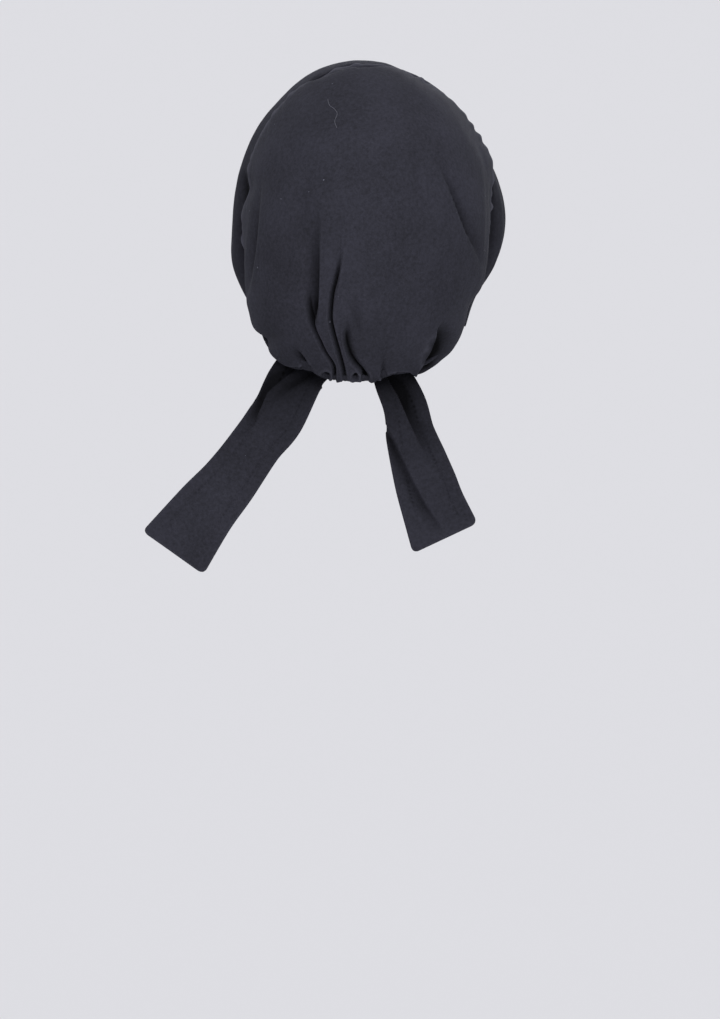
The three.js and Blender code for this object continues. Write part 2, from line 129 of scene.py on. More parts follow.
# %% [markdown]
# ## The worn form
#
# A cap on a head is a row of arches, from the face over the crown to the nape. Every arch runs
# from one ear to the other. The table gives each arch's middle and width as shares of a few head
# sizes, and a smooth curve through the rows gives every arch between them. The same sizes made
# the plain solids, so the cloth lands on them without any fitting.

# %% Sizes and arches of the worn form
CROWN_RISE = 163  # ear line up to the crown
FORE_REACH = 105  # ear line forward to the front edge
BAG_REACH = 131  # ear line back to the fullest point of the bag
HEM_DROP = 60  # ear line down to the nape hem
HALF_WIDTH = 93
EAR_HALF_SPAN = 69
EAR_LINE_FORWARD = 14
CORNER_FORWARD = 24
CORNER_DROP = 22
CORNER_IN = 2
FRONT_ARCH = 0
HEM_ARCH = 18

ARCH_COLUMNS = ("back", "up", "width", "lean", "corner", "full")
ARCHES = np.array([
    (-1.0, 0.583, 0.87, -0.06, 1.0, 1.0),
    (-0.895, 0.7, 0.91, -0.06, 0.86, 1.0),
    (-0.733, 0.798, 0.955, -0.08, 0.7, 1.0),
    (-0.543, 0.883, 0.995, -0.08, 0.54, 1.0),
    (-0.333, 0.948, 1.01, -0.06, 0.38, 1.0),
    (-0.105, 0.989, 0.995, -0.02, 0.22, 1.0),
    (0.106, 1.0, 0.965, 0.02, 0.08, 1.0),
    (0.304, 0.965, 0.92, 0.03, 0.0, 1.0),
    (0.502, 0.912, 0.89, 0.03, 0.0, 0.97),
    (0.677, 0.83, 0.875, 0.02, 0.0, 0.94),
    (0.821, 0.714, 0.868, 0.02, 0.0, 0.92),
    (0.92, 0.57, 0.86, 0.02, 0.0, 0.9),
    (0.981, 0.41, 0.854, 0.03, 0.0, 0.9),
    (1.0, 0.24, 0.845, 0.05, 0.0, 0.9),
    (0.989, 0.077, 0.835, 0.08, 0.0, 0.9),
    (0.95, -0.22, 0.81, 0.11, 0.0, 0.88),
    (0.88, -0.58, 0.785, 0.12, 0.0, 0.86),
    (0.785, -0.86, 0.765, 0.12, 0.0, 0.84),
    (0.68, -1.0, 0.755, 0.11, 0.0, 0.82),
    (0.585, -0.96, 0.75, 0.11, 0.0, 0.82),
])

# Where the bag is sewn to the band: a place in the row of arches at nine even steps from the
# wearer's right corner to the left one.
SEAM_ARCHES = np.array([6.9, 6.8, 5.9, 6.3, 7.0, 7.3, 7.6, 7.5, 7.0])


def read_smooth(values, place):
    """Reads a column at places between its rows, on the cubic curve through the rows."""
    last = len(values) - 1
    at = np.clip(place, 0, last)
    row = np.minimum(np.floor(at).astype(int), last - 1)
    a, b, c, d = (values[np.clip(row + k, 0, last)] for k in (-1, 0, 1, 2))
    t = at - row
    bend = (2 * a - 5 * b + 4 * c - d) * t**2 + (3 * b - a - 3 * c + d) * t**3
    return b + 0.5 * ((c - a) * t + bend)


# %% From arches to points in space
arch = dict(zip(ARCH_COLUMNS, ARCHES.T))
reach = np.where(arch["back"] < 0, FORE_REACH, BAG_REACH)
height = np.where(arch["up"] < 0, HEM_DROP, CROWN_RISE)
ARCH_SIZES = {
    "x": arch["lean"] * HALF_WIDTH,
    "y": arch["back"] * reach - EAR_LINE_FORWARD,
    "z": arch["up"] * height - CROWN_RISE,
    "half_width": np.maximum(arch["width"] * HALF_WIDTH, EAR_HALF_SPAN),
    "foot_x": EAR_HALF_SPAN - arch["corner"] * CORNER_IN,
    "foot_y": -EAR_LINE_FORWARD - arch["corner"] * CORNER_FORWARD,
    "foot_z": -CROWN_RISE - arch["corner"] * CORNER_DROP,
    "full": arch["full"],
}


def arch_point(side, place):
    """Points at a side from -1 to 1 of the arch at a place in the row. An arch is part of a
    circle: x is its half width times the sine of the angle, and y and z run from the foot to the
    middle with the cosine, raised to the power that makes the arch fuller."""
    side, place = np.broadcast_arrays(np.asarray(side, float), np.asarray(place, float))
    size = {name: read_smooth(values, place) for name, values in ARCH_SIZES.items()}
    foot_angle = np.pi - np.arcsin(np.minimum(1, size["foot_x"] / size["half_width"]))
    angle = side * foot_angle
    rise = (np.cos(angle) - np.cos(foot_angle)) / (1 - np.cos(foot_angle))
    share = np.maximum(rise, 0) ** size["full"]
    x = size["half_width"] * np.sin(angle) + size["x"] * share
    y = size["foot_y"] + (size["y"] - size["foot_y"]) * share
    z = size["foot_z"] + (size["z"] - size["foot_z"]) * share
    return np.stack([x, y, z], -1)


def seam_arch(side):
    """The seam's place in the row of arches."""
    return read_smooth(SEAM_ARCHES, (side + 1) / 2 * (len(SEAM_ARCHES) - 1))


def place_behind(side, place, distance):
    """The place in the row that lies a distance behind another, measured on the cloth."""
    distance = np.where(np.abs(distance) < 1e-6, 1e-6, distance)
    near = 0.25 * np.sign(distance)
    step = np.linalg.norm(arch_point(side, place) - arch_point(side, place + near), axis=-1)
    return place + near * np.abs(distance) / step


# %% [markdown]
# ## From a grid of points to a piece of cloth
#
# A sheet of cloth is a grid of points. Its outward side is a second grid, moved out by the cloth's
# thickness along the normals, and strips of faces close the edges. The helper also keeps how far
# each point lies across and along the cloth, in millimetres, as a UV map. The knit follows that
# map, as the real wales follow the cloth into its folds. A painted shade is kept for each point
# too: above 0 it paints a highlight on a ridge of the cloth, and below 0 it paints shade in a crease.

# %% Grid helpers
def unit_normals(points):
    """Normals of a grid: the cross product of its two directions, made one long."""
    across = np.gradient(points, axis=0)
    along = np.gradient(points, axis=1)
    normals = np.cross(across, along)
    return normals / np.maximum(np.linalg.norm(normals, axis=-1, keepdims=True), 1e-12)


def lengths_on(points, axis):
    """How far each point lies from the grid's first row, measured on the cloth along an axis."""
    steps = np.linalg.norm(np.diff(points, axis=axis), axis=-1)
    start = np.zeros_like(np.take(steps, [0], axis=axis))
    return np.concatenate([start, np.cumsum(steps, axis=axis)], axis=axis)


def dense_stops(start, end, count, crowded=()):
    """count + 1 stops from start to end, closer together round each (middle, spread, weight)."""
    fine = np.linspace(start, end, 4000)
    density = 1 + sum((weight * bell(fine, middle, spread) for middle, spread, weight in crowded),
                      np.zeros_like(fine))
    total = np.concatenate([[0], np.cumsum((density[1:] + density[:-1]) / 2)])
    return np.interp(np.linspace(0, total[-1], count + 1), total, fine)


def roll_edge(points, normals, radius, turn=math.pi, steps=6, at_end=True):
    """Curls the last row of a grid inwards round a circle, as cloth turns at a fold. Each new row
    lies radius * sin(t) ahead of the edge and radius * (1 - cos(t)) below it."""
    edge, before, facing = (points[:, -1], points[:, -2], normals[:, -1]) if at_end else (
        points[:, 0], points[:, 1], normals[:, 0])
    ahead = edge - before
    ahead /= np.maximum(np.linalg.norm(ahead, axis=-1, keepdims=True), 1e-12)
    rows, row_normals = [], []
    for angle in np.linspace(0, turn, steps + 1)[1:]:
        rows.append(edge + radius * (math.sin(angle) * ahead - (1 - math.cos(angle)) * facing))
        row_normals.append(math.cos(angle) * facing + math.sin(angle) * ahead)
    if not at_end:
        rows.reverse()
        row_normals.reverse()
    parts = [points, np.stack(rows, 1)] if at_end else [np.stack(rows, 1), points]
    normal_parts = [normals, np.stack(row_normals, 1)]
    if not at_end:
        normal_parts.reverse()
    return np.concatenate(parts, 1), np.concatenate(normal_parts, 1)


def new_piece(name, points, faces, uv, material, shade=None):
    """A smooth mesh object at the origin, from points in millimetres and a list of faces.
    The shade of each point, a painted shade or painted highlight, is kept as an attribute, which the
    cloth's material reads."""
    mesh = bpy.data.meshes.new(name)
    mesh.from_pydata((points * MM).tolist(), [], faces)
    mesh.polygons.foreach_set("use_smooth", np.ones(len(mesh.polygons), bool))
    corners = np.empty(len(mesh.loops), int)
    mesh.loops.foreach_get("vertex_index", corners)
    layer = mesh.uv_layers.new(name="cloth")
    layer.data.foreach_set("uv", (uv[corners] * MM).ravel())
    mesh.materials.append(material)
    if shade is not None:
        mesh.attributes.new("shade", "FLOAT", "POINT").data.foreach_set("value", shade.ravel())
    piece = bpy.data.objects.new(name, mesh)
    bpy.context.scene.collection.objects.link(piece)
    print(f"{name}: {len(mesh.loops) - 2 * len(mesh.polygons)} triangles")
    return piece


def sheet_faces(across, along):
    """Faces of a closed sheet whose outer grid comes first and whose inner grid comes second."""
    index = np.arange(across * along).reshape(across, along)
    out, inn = index, index + across * along

    def quads(a, b, c, d):
        return np.stack([a, b, c, d], -1).reshape(-1, 4)

    return np.concatenate([
        quads(out[:-1, :-1], out[1:, :-1], out[1:, 1:], out[:-1, 1:]),
        quads(inn[:-1, :-1], inn[:-1, 1:], inn[1:, 1:], inn[1:, :-1]),
        quads(inn[:-1, 0], inn[1:, 0], out[1:, 0], out[:-1, 0]),
        quads(out[:-1, -1], out[1:, -1], inn[1:, -1], inn[:-1, -1]),
        quads(out[0, :-1], out[0, 1:], inn[0, 1:], inn[0, :-1]),
        quads(inn[-1, :-1], inn[-1, 1:], out[-1, 1:], out[-1, :-1]),
    ]).tolist()


def cloth_piece(name, outer, normals, thickness, material, shade=None):
    """A closed sheet of cloth from its outer grid. The inner grid lies a thickness inside it and
    takes half the shade."""
    inner = outer - thickness * normals
    across, along = outer.shape[:2]
    middle = across // 2
    over = lengths_on(outer, 0)
    uv = np.stack([over - over[middle], lengths_on(outer, 1)], -1).reshape(-1, 2)
    points = np.concatenate([outer.reshape(-1, 3), inner.reshape(-1, 3)])
    if shade is None:
        shade = np.zeros((across, along))
    shades = np.concatenate([shade.ravel(), 0.5 * shade.ravel()])
    faces = sheet_faces(across, along)
    return new_piece(name, points, faces, np.concatenate([uv, uv]), material, shades)


def tube_piece(name, rings, uv_across, uv_along, material):
    """A closed tube from rings of points, with a point in the middle of each end."""
    count, around = rings.shape[:2]
    index = np.arange(count * around).reshape(count, around)
    ahead = np.roll(index, -1, axis=1)
    walls = np.stack([index[:-1], index[1:], ahead[1:], ahead[:-1]], -1).reshape(-1, 4)
    first, last = np.full(around, index.size), np.full(around, index.size + 1)
    start_cap = np.stack([first, index[0], ahead[0]], -1)
    end_cap = np.stack([last, ahead[-1], index[-1]], -1)
    faces = walls.tolist() + start_cap.tolist() + end_cap.tolist()
    points = np.concatenate([rings.reshape(-1, 3), rings[:1].mean(1), rings[-1:].mean(1)])
    uv = np.stack([uv_across, uv_along], -1).reshape(-1, 2)
    uv = np.concatenate([uv, uv[:1], uv[-1:]])
    return new_piece(name, points, faces, uv, material)


def closed_ring_piece(name, rings, material):
    """A ring whose last section joins its first, such as a wrap of cloth."""
    count, around = rings.shape[:2]
    index = np.arange(count * around).reshape(count, around)
    nxt, side_on = np.roll(index, -1, axis=0), np.roll(index, -1, axis=1)
    faces = np.stack([index, nxt, np.roll(nxt, -1, axis=1), side_on], -1).reshape(-1, 4)
    uv = np.stack(np.meshgrid(np.arange(count), np.arange(around) * 0.4, indexing="ij"), -1)
    uv = uv.reshape(-1, 2).astype(float)
    return new_piece(name, rings.reshape(-1, 3), faces.tolist(), uv, material)


# %% [markdown]
# ## Folds
#
# A fold of thin jersey has a soft flank and a crisp one. Here a fold is a short table of points
# along its line. Each row gives where the line lies, how wide the flank is on either hand, and how
# deep the fold is there. Between rows everything runs smoothly, and the relief moves the cloth
# along its normal.
#
# The colour is painted along each fold too: a painted shade darkens the creases and a painted
# highlight pales the ridges, so the depth of the folds gives the shade of each point as well.

# %% Relief of a fold
def fold_relief(run, place, rows):
    """Height of one fold, in millimetres, where run goes along it and place across it.
    rows hold run, place, the flank's width on the low and the high side, and the depth.
    The relief is -depth * exp(-off^power), with off in flank widths. The power is 1.5 on a crisp
    flank, which also has a low lip, and 2.5 on a wide one, which makes its floor flatter."""
    line = np.array(sorted(rows), float)
    step = np.interp(run, line[:, 0], np.arange(len(line)))
    middle, low, high, depth = (read_smooth(line[:, k], step) for k in (1, 2, 3, 4))
    slope = np.gradient(line[:, 1], line[:, 0])
    upright = 1 / np.sqrt(1 + np.interp(run, line[:, 0], slope) ** 2)
    off = (place - middle) * upright
    width = np.where(off < 0, low, high)
    off = np.abs(off) / np.maximum(width, 0.3)
    power = 1.5 + smoothstep(width, 2.6, 4.6)
    inside = (run >= line[0, 0]) & (run <= line[-1, 0])
    valley = np.exp(-(off**power))
    lip = 0.1 * bell(off, 1.9, 0.6) * (1 - smoothstep(width, 1.2, 2.6))
    return np.where(inside, depth * (lip - valley), 0)


def dents(x, z, rows):
    """Smooth dents added up: depth * bell(z) * bell(x) for each row of height, place to the left,
    spread up, spread across and depth."""
    return sum(depth * bell(z, at_z, spread_z) * bell(x, at_x, spread_x)
               for at_z, at_x, spread_z, spread_x, depth in rows)


def fold_shade_and_highlight(height):
    """Painted shade in the creases and painted highlight on the ridges, from -1 to 1, where folds bend
    the cloth. The creases get -0.92 * (depth / 5.5)^1.6 and the ridges 0.2 * height."""
    return 0.2 * np.clip(height, 0, 1) - 0.92 * np.clip(-height / 5.5, 0, 1) ** 1.6


# %% [markdown]
# ## Black cotton jersey
#
# Jersey is a fine weft knit. Black cotton drinks light, and its loose fibre ends catch a little of
# it at grazing angles, which the sheen gives. The dye is never quite even, so two near blacks are
# mixed by a slow noise. The real wales are under half a millimetre wide and would only shimmer in
# a picture, so the knit here is drawn 0.9 mm wide and very shallow. A few pale flecks of lint sit
# on the surface, as they always do on black cotton. Last, the shade of each point paints the
# colour: a painted highlight of grey on the ridges and a painted shade of deep black in the creases.

# %% Colour and node helpers
MIX_A, MIX_B, MIX_OUT = 6, 7, 2  # the colour sockets of a Mix node


def colour(hex_code, alpha=1.0):
    """An sRGB hex colour as linear values, with a four-part result for Blender's sockets."""
    parts = [int(hex_code[k:k + 2], 16) / 255 for k in (1, 3, 5)]
    linear = [p / 12.92 if p <= 0.04045 else ((p + 0.055) / 1.055) ** 2.4 for p in parts]
    return (*linear, alpha)


def add_node(tree, kind, links=None, **settings):
    """Adds a node. links name an input and what feeds it: a node's first output, a socket or a
    plain value. Settings are the node's own properties."""
    node = tree.nodes.new(kind)
    for name, value in settings.items():
        setattr(node, name, value)
    for name, source in (links or {}).items():
        socket = node.inputs[name]
        if isinstance(source, bpy.types.Node):
            tree.links.new(source.outputs[0], socket)
        elif isinstance(source, bpy.types.NodeSocket):
            tree.links.new(source, socket)
        else:
            socket.default_value = source
    return node


def noise(tree, place, size, detail, roughness=0.5):
    """A noise whose features are about a size in millimetres."""
    return add_node(tree, "ShaderNodeTexNoise", {
        "Vector": place, "Scale": 1 / (size * MM), "Detail": detail, "Roughness": roughness})


def maths(tree, operation, first, second, clamp=False):
    """A Math node of two values."""
    return add_node(tree, "ShaderNodeMath", {0: first, 1: second}, operation=operation,
                    use_clamp=clamp)


def blend(tree, share, first, second):
    """The colour output of a Mix node, from its first colour at 0 to its second at 1."""
    mix = add_node(tree, "ShaderNodeMix", {0: share, MIX_A: first, MIX_B: second},
                   data_type="RGBA")
    return mix.outputs[MIX_OUT]


def new_material(name, **values):
    """A material whose Principled shader has these plain values on its own sockets."""
    material = bpy.data.materials.new(name)
    material.use_nodes = True
    tree = material.node_tree
    shader = tree.nodes["Principled BSDF"]
    for socket, value in values.items():
        shader.inputs[socket.replace("_", " ")].default_value = value
    return material, tree, shader


# %% Jersey
WALE = 0.9  # millimetres between the columns of the knit, as drawn
COURSE = 0.7  # millimetres between its rows
ONE_WAVE = 0.314  # the wave texture's scale at which one wave is one unit long
LINT, PAINTED_RIDGE_GREY, PAINTED_CREASE_BLACK = "#62636f", "#5b5b66", "#050506"  # lint, painted highlight on the ridges, painted shade in the creases


def jersey(name, deep, lit, knit=0.1):
    """Matte cotton jersey: two near blacks mixed by noise, a shallow knit and fine fuzz."""
    material, tree, shader = new_material(name, Roughness=0.95, IOR=1.45)
    shader.inputs["Specular IOR Level"].default_value = 0.04
    shader.inputs["Sheen Weight"].default_value = 0.035
    shader.inputs["Sheen Roughness"].default_value = 0.5
    shader.inputs["Sheen Tint"].default_value = colour("#b9bccb")
    spot = add_node(tree, "ShaderNodeTexCoord")
    place, cloth = spot.outputs["Object"], spot.outputs["UV"]

    patches = noise(tree, place, 38, 2.0)
    fuzz = noise(tree, place, 2.4, 5.0, 0.85)
    mixed = maths(tree, "ADD", maths(tree, "MULTIPLY", patches, 0.35), fuzz)
    tone = add_node(tree, "ShaderNodeMapRange", {
        "Value": mixed, "From Min": 0.5, "From Max": 0.85, "To Min": 0.0, "To Max": 1.0})
    dyed = blend(tree, tone, colour(deep), colour(lit))
    flecks = add_node(tree, "ShaderNodeTexVoronoi", {
        "Vector": place, "Scale": 1 / (9 * MM), "Randomness": 1.0})
    near = add_node(tree, "ShaderNodeMapRange", {
        "Value": noise(tree, place, 14, 1.0), "From Min": 0.5, "From Max": 0.75,
        "To Min": 0.0, "To Max": 0.08})
    lint = maths(tree, "LESS_THAN", flecks.outputs["Distance"], near)
    dusted = blend(tree, lint, dyed, colour(LINT))
    # Painted highlight and painted shade: the shade attribute takes the colour towards pale grey on ridges
    # and towards deep black in creases.
    shade = add_node(tree, "ShaderNodeAttribute", attribute_name="shade").outputs["Fac"]
    ridge_highlight_share = maths(tree, "MULTIPLY", shade, 1.0, clamp=True)
    crease_shade_share = maths(tree, "MULTIPLY", shade, -1.0, clamp=True)
    ridge_highlighted = blend(tree, ridge_highlight_share, dusted, colour(PAINTED_RIDGE_GREY))
    crease_shaded = blend(tree, crease_shade_share, ridge_highlighted, colour(PAINTED_CREASE_BLACK))
    tree.links.new(crease_shaded, shader.inputs["Base Color"])

    stretched = add_node(tree, "ShaderNodeMapping", {
        "Vector": cloth, "Scale": (1 / (WALE * MM), 1 / (COURSE * MM), 1)})
    wales, loops = (add_node(tree, "ShaderNodeTexWave", {
        "Vector": stretched, "Scale": ONE_WAVE, "Distortion": distortion, "Detail": 1.0},
        bands_direction=direction) for direction, distortion in (("X", 0.6), ("Y", 0.9)))
    stitched = maths(tree, "ADD", wales, loops)
    knit_bump = add_node(tree, "ShaderNodeBump", {
        "Height": stitched, "Strength": knit, "Distance": 0.2 * MM})
    fibre = noise(tree, place, 0.8, 4.0, 0.75)
    fibre_bump = add_node(tree, "ShaderNodeBump", {
        "Height": fibre, "Normal": knit_bump, "Strength": 0.35, "Distance": 0.25 * MM})
    tree.links.new(fibre_bump.outputs["Normal"], shader.inputs["Normal"])
    return material


jersey_cloth = jersey("cotton jersey, black, single", "#212126", "#2f2f37")
# The band's jersey, which the straps share, has darker blacks than the bag's: a painted shade for the
# band's sides, which face away from the light.
band_cloth = jersey("cotton jersey, black, stretched double", "#1e1e23", "#2a2a31", knit=0.06)
tape_cloth = jersey("cotton jersey, black, turned over elastic", "#1e1e23", "#2b2b32")
thread = new_material("cotton lint, pale grey", Base_Color=colour("#55565f"), Roughness=0.9,
                      IOR=1.5)[0]

# %% [markdown]
# ## The gathered bag
#
# The bag is cut wider than the head. It swells out behind its seam, hangs smooth over the hair and
# is drawn together at the hem. Its long folds start as soft hollows about half way down and turn
# into crisp creases where the elastic holds them. Their lines were measured on the photograph and
# are given here as real places: how high above the crown, which is less than 0 below it, and how
# far to the wearer's left.

# %% Sizes and folds of the bag
BAG_WALL = 1.2  # of the plain solid, whose outer face the cloth follows
BAG_CLOTH = 0.8
CORNER_SIDE = 0.96  # the band stops at this side, and the strap goes on from there
BAG_SIDE = 0.99  # the bag runs on over the strap, almost to the point where its arches meet
SEAM_PUFF = 2.5  # how far the bag swells out behind its seam
PUFF_CRISP = 6  # on the cloth, from the seam to where its first, quick rise ends
PUFF_FULL = 30  # and to where the swelling is full
PUCKER_DEPTH = 1.1
PUCKER_STEP = 13
PUCKER_REACH = 24
DRAPE_DEPTH = 0.55

# Height above the crown, place to the wearer's left, flank towards the right, flank towards the
# left, and depth, all in millimetres.
BAG_FOLDS = {
    "long hollow": [
        (-88, 37.4, 5, 7, 0), (-104, 36, 2.6, 6.8, 0.4), (-118, 35.1, 1.6, 6.6, 1.2),
        (-130, 34.8, 1.1, 6.4, 2.4), (-142, 34.9, 0.9, 6.2, 3.8), (-156, 35.1, 0.9, 5.8, 4.5),
        (-168, 35.4, 0.9, 5.4, 4.8), (-175, 36.2, 1.2, 4.4, 5.8), (-181, 37.6, 1.6, 2.4, 6),
        (-187, 38.2, 2, 1.6, 2), (-194, 36.4, 2, 2, 0)],
    "long crease": [
        (-150, 42, 1.73, 2.16, 0), (-164, 41.2, 1.38, 1.73, 1.2), (-175, 40.7, 1.04, 1.22, 3.8),
        (-183, 39.4, 0.95, 1.12, 5.8), (-190, 36.9, 0.95, 1.04, 6.4), (-196, 33.8, 0.86, 0.95, 6.4),
        (-204, 30.1, 0.86, 0.95, 6.1), (-211, 25.4, 0.86, 0.95, 6.1), (-216, 24, 0.86, 0.95, 6.1),
        (-228, 23.9, 0.95, 0.95, 5.2)],
    "middle hollow": [
        (-104, 20, 4, 4, 0), (-122, 20.8, 2.4, 4, 0.3), (-136, 21.1, 1.8, 3.8, 0.8),
        (-148, 21.5, 1, 3.4, 1.8), (-156, 22.8, 1, 3, 2.4), (-170, 25.5, 1.6, 2.6, 0.9),
        (-182, 27, 2, 2.4, 0)],
    "middle crease": [
        (-140, 20.4, 1.5, 1.5, 0), (-150, 21.4, 0.94, 1.22, 2.3), (-156, 22.8, 0.84, 1.12, 4.3),
        (-164, 25, 0.84, 1.12, 5.5), (-172, 26.1, 0.84, 1.12, 6.1), (-182, 26.6, 0.94, 1.12, 6.4),
        (-188, 25.6, 0.94, 1.12, 6.4), (-198, 23, 0.94, 1.12, 6.1), (-206, 20.7, 0.94, 1.12, 6.1),
        (-213, 18.7, 0.94, 1.12, 6.1), (-221, 17, 1.03, 1.12, 5.8), (-229, 16.4, 1.03, 1.12, 4.9)],
    "short deep fold": [
        (-180, 14.4, 3.4, 2.6, 0), (-188, 16, 3, 1.92, 1.9), (-194, 16.9, 2.8, 1.2, 5),
        (-200, 16.2, 2.7, 1.08, 6.5), (-207, 13.9, 2.4, 1.08, 6.7), (-212, 10.5, 2, 1.08, 6.5),
        (-217, 5.6, 1.8, 1.2, 6.2), (-221, 3.6, 1.92, 1.32, 6), (-229, 3, 1.92, 1.44, 5.3)],
    "hollow over the deep fold": [
        (-160, 13, 4, 4, 0), (-172, 12, 3.6, 3.4, 1.4), (-181, 11.2, 3.2, 3, 2.2),
        (-190, 9.6, 3.2, 3, 1.5), (-200, 8, 3.4, 3, 0)],
    "left tuck": [
        (-200, 50.4, 2, 2.4, 0), (-205, 48, 1.6, 2.6, 3.4), (-209, 45.4, 1.5, 2.6, 6),
        (-213, 42.6, 1.4, 2.2, 6.2), (-217, 39.2, 1.4, 1.8, 4.6), (-224, 34, 1.4, 1.6, 1)],
    "right pleat": [
        (-182, -46, 4, 2.4, 0), (-188, -45.4, 7, 1.6, 3), (-193, -44.6, 8.6, 1.2, 6.2),
        (-198, -43.4, 9, 1.1, 7.4), (-204, -40.4, 8.4, 1.1, 7.6), (-210, -36.6, 6.4, 1.1, 7),
        (-215, -33.4, 4.4, 1.1, 5.6), (-220, -30.6, 2.6, 1.1, 3.4), (-230, -26, 1.6, 1.1, 1.4)],
    "slanting crease": [
        (-72, -38.4, 2.8, 2.4, 0), (-84, -45.6, 2.7, 2, 1.8), (-95, -51.3, 2.7, 1.9, 3.4),
        (-104, -55.7, 2.7, 1.9, 4.2), (-115, -60.2, 2.7, 1.9, 4.5), (-124, -64, 2.7, 1.9, 4),
        (-131, -68, 2.7, 1.9, 3), (-139, -71.7, 2.8, 2.2, 1.6), (-148, -75, 3, 2.6, 0)],
    "left drag line": [
        (-82, 71.6, 2.4, 2.4, 0), (-102, 72.6, 1.8, 2, 1.7), (-118, 74.2, 1.6, 1.8, 2.8),
        (-134, 75.4, 1.5, 1.8, 3.1), (-152, 77.8, 1.6, 2, 2.5), (-170, 80.2, 2.4, 2.4, 0)],
    "left hollow": [
        (-78, 38.8, 4, 5, 0), (-92, 39.7, 2.4, 5, 0.8), (-105, 42.3, 2.2, 5, 1.3),
        (-122, 44.3, 2.6, 6, 1.1), (-140, 46, 5, 6, 0)],
    "right hollow": [
        (-62, -26, 4, 4, 0), (-76, -27.4, 2.2, 3, 0.8), (-92, -29.1, 1.8, 3, 1.4),
        (-104, -31.1, 2.2, 4, 1.1), (-122, -34, 5, 5, 0)],
    "low middle hollow": [
        (-200, -7, 3, 3, 0), (-211, -8, 2.4, 2, 1.2), (-217, -8.6, 1.8, 1.4, 3.4),
        (-221, -8.8, 1.6, 1.2, 4.7), (-228, -9.2, 1.6, 1.2, 3.4)],
}

# Two short pleats at the seam on the crown, nearly level as the camera sees them.
TOP_PLEATS = [
    [(-21, 44, 1.6, 1.6, 0), (-18, 38.5, 1.4, 1.8, 3.2), (-15.4, 32, 1.4, 1.8, 4.0),
     (-13.4, 25, 1.6, 1.6, 0)],
    [(-12.4, 11, 1.6, 1.6, 0), (-11, 4.8, 1.4, 1.8, 2.6), (-9.6, -0.5, 1.4, 1.8, 2.8),
     (-8, -7, 1.6, 1.6, 0)],
]

# Small pits where gathers meet the elastic, each with a painted shade inside and a faint painted
# highlight round it: height, place to the left, size and depth. The last two paint shade on the
# floor of the right pleat.
HEM_PITS = [
    (-219.5, 29.6, 1.9, 5.0),
    (-219.6, 10.1, 1.5, 3.6),
    (-220.4, 3.6, 1.8, 3.0),
    (-219.3, -8.8, 1.5, 3.0),
    (-213.4, 43.2, 1.5, 2.0),
    (-199.5, -43.6, 3.6, 1.2),
    (-206.5, -39.8, 3.2, 1.2),
]

# Where the band's corners and the elastic pull the bag in, or let it out where the depth is less
# than 0: height, place to the left, how far the dent spreads up and across, and its depth.
SIDE_NOTCHES = [
    (-90.0, 84.0, 9.5, 12.0, 4.6),
    (-13.0, 31.0, 6.0, 9.0, 2.0),
    (-208.0, -57.0, 9.0, 11.0, -3.0),
    (-194.5, 70.0, 5.5, 12.0, 4.0),
    (-184.0, 80.0, 7.0, 14.0, -1.4),
    (-171.0, -76.0, 12.0, 14.0, 5.0),
]
LOBES = [(-0.375, 0.055, 4.6), (-0.45, 0.06, 3.6)]  # where the right pleat bulges below the hem
SEAM_SWELLS = [(-70.0, -87.0, 17.0, 20.0, 7.0), (-12.0, -42.0, 15.0, 22.0, -3.4)]  # by the seam
SWELL_REACH = 60  # on the cloth, from the seam to where a swelling has faded
HELD_BY_ELASTIC = 0.5  # the share of a fold's depth that the elastic takes out at the hem

# How far the tails and gathers lift the hem, on the cloth, at each side. Less than none is a lobe.
HEM_LIFTS = np.array([
    (-1.0, 0.0), (-0.5, 0.0), (-0.42, -1.5), (-0.36, -2.5), (-0.335, 0.5), (-0.3, 4.6),
    (-0.21, 8.0), (-0.15, 5.0), (-0.13, 1.0), (-0.108, -3.5), (-0.08, -1.5), (-0.054, 1.6),
    (-0.03, 1.2), (0.0, 1.8), (0.03, 1.4), (0.1, -1.0), (0.15, 1.4), (0.193, 5.0), (0.24, 9.6),
    (0.3, 9.0), (0.36, 5.0), (0.44, 0.0), (1.0, 0.0)])


def hem_arch(side):
    """The hem's place in the row of arches, after the tails have pushed it up."""
    lift = np.interp(side, HEM_LIFTS[:, 0], HEM_LIFTS[:, 1])
    return place_behind(side, HEM_ARCH + 0 * side, -lift)


def flat_at_ends(side):
    """1 along most of the seam, down to 0 at its two ends, which lie flat on the head."""
    return 1 - smoothstep(np.abs(side), 0.78, 0.92)


# %% Work out the bag
GATHER_DRIFT = -0.09  # the creases run towards the right near the hem, and the columns with them

bag_columns = dense_stops(-BAG_SIDE, BAG_SIDE, 368, [(0.1, 0.17, 3.2), (-0.4, 0.08, 2.0)])
bag_rows = dense_stops(0, 1, 118, [(0, 0.05, 2.0), (0.88, 0.12, 2.2), (1, 0.04, 2.6)])
column = bag_columns[:, None]
down = bag_rows[None, :]
side = column + GATHER_DRIFT * bell(column, 0.12, 0.26) * smoothstep(down, 0.72, 0.96)
seam_place, hem_place = seam_arch(side), hem_arch(side)
bag_form = arch_point(side, seam_place + (hem_place - seam_place) * down)
bag_normals = unit_normals(bag_form)
from_seam = lengths_on(bag_form, 1)
to_hem = from_seam[:, -1:] - from_seam
over = lengths_on(bag_form, 0)
over = over - np.interp(0, bag_columns, over[:, 0])

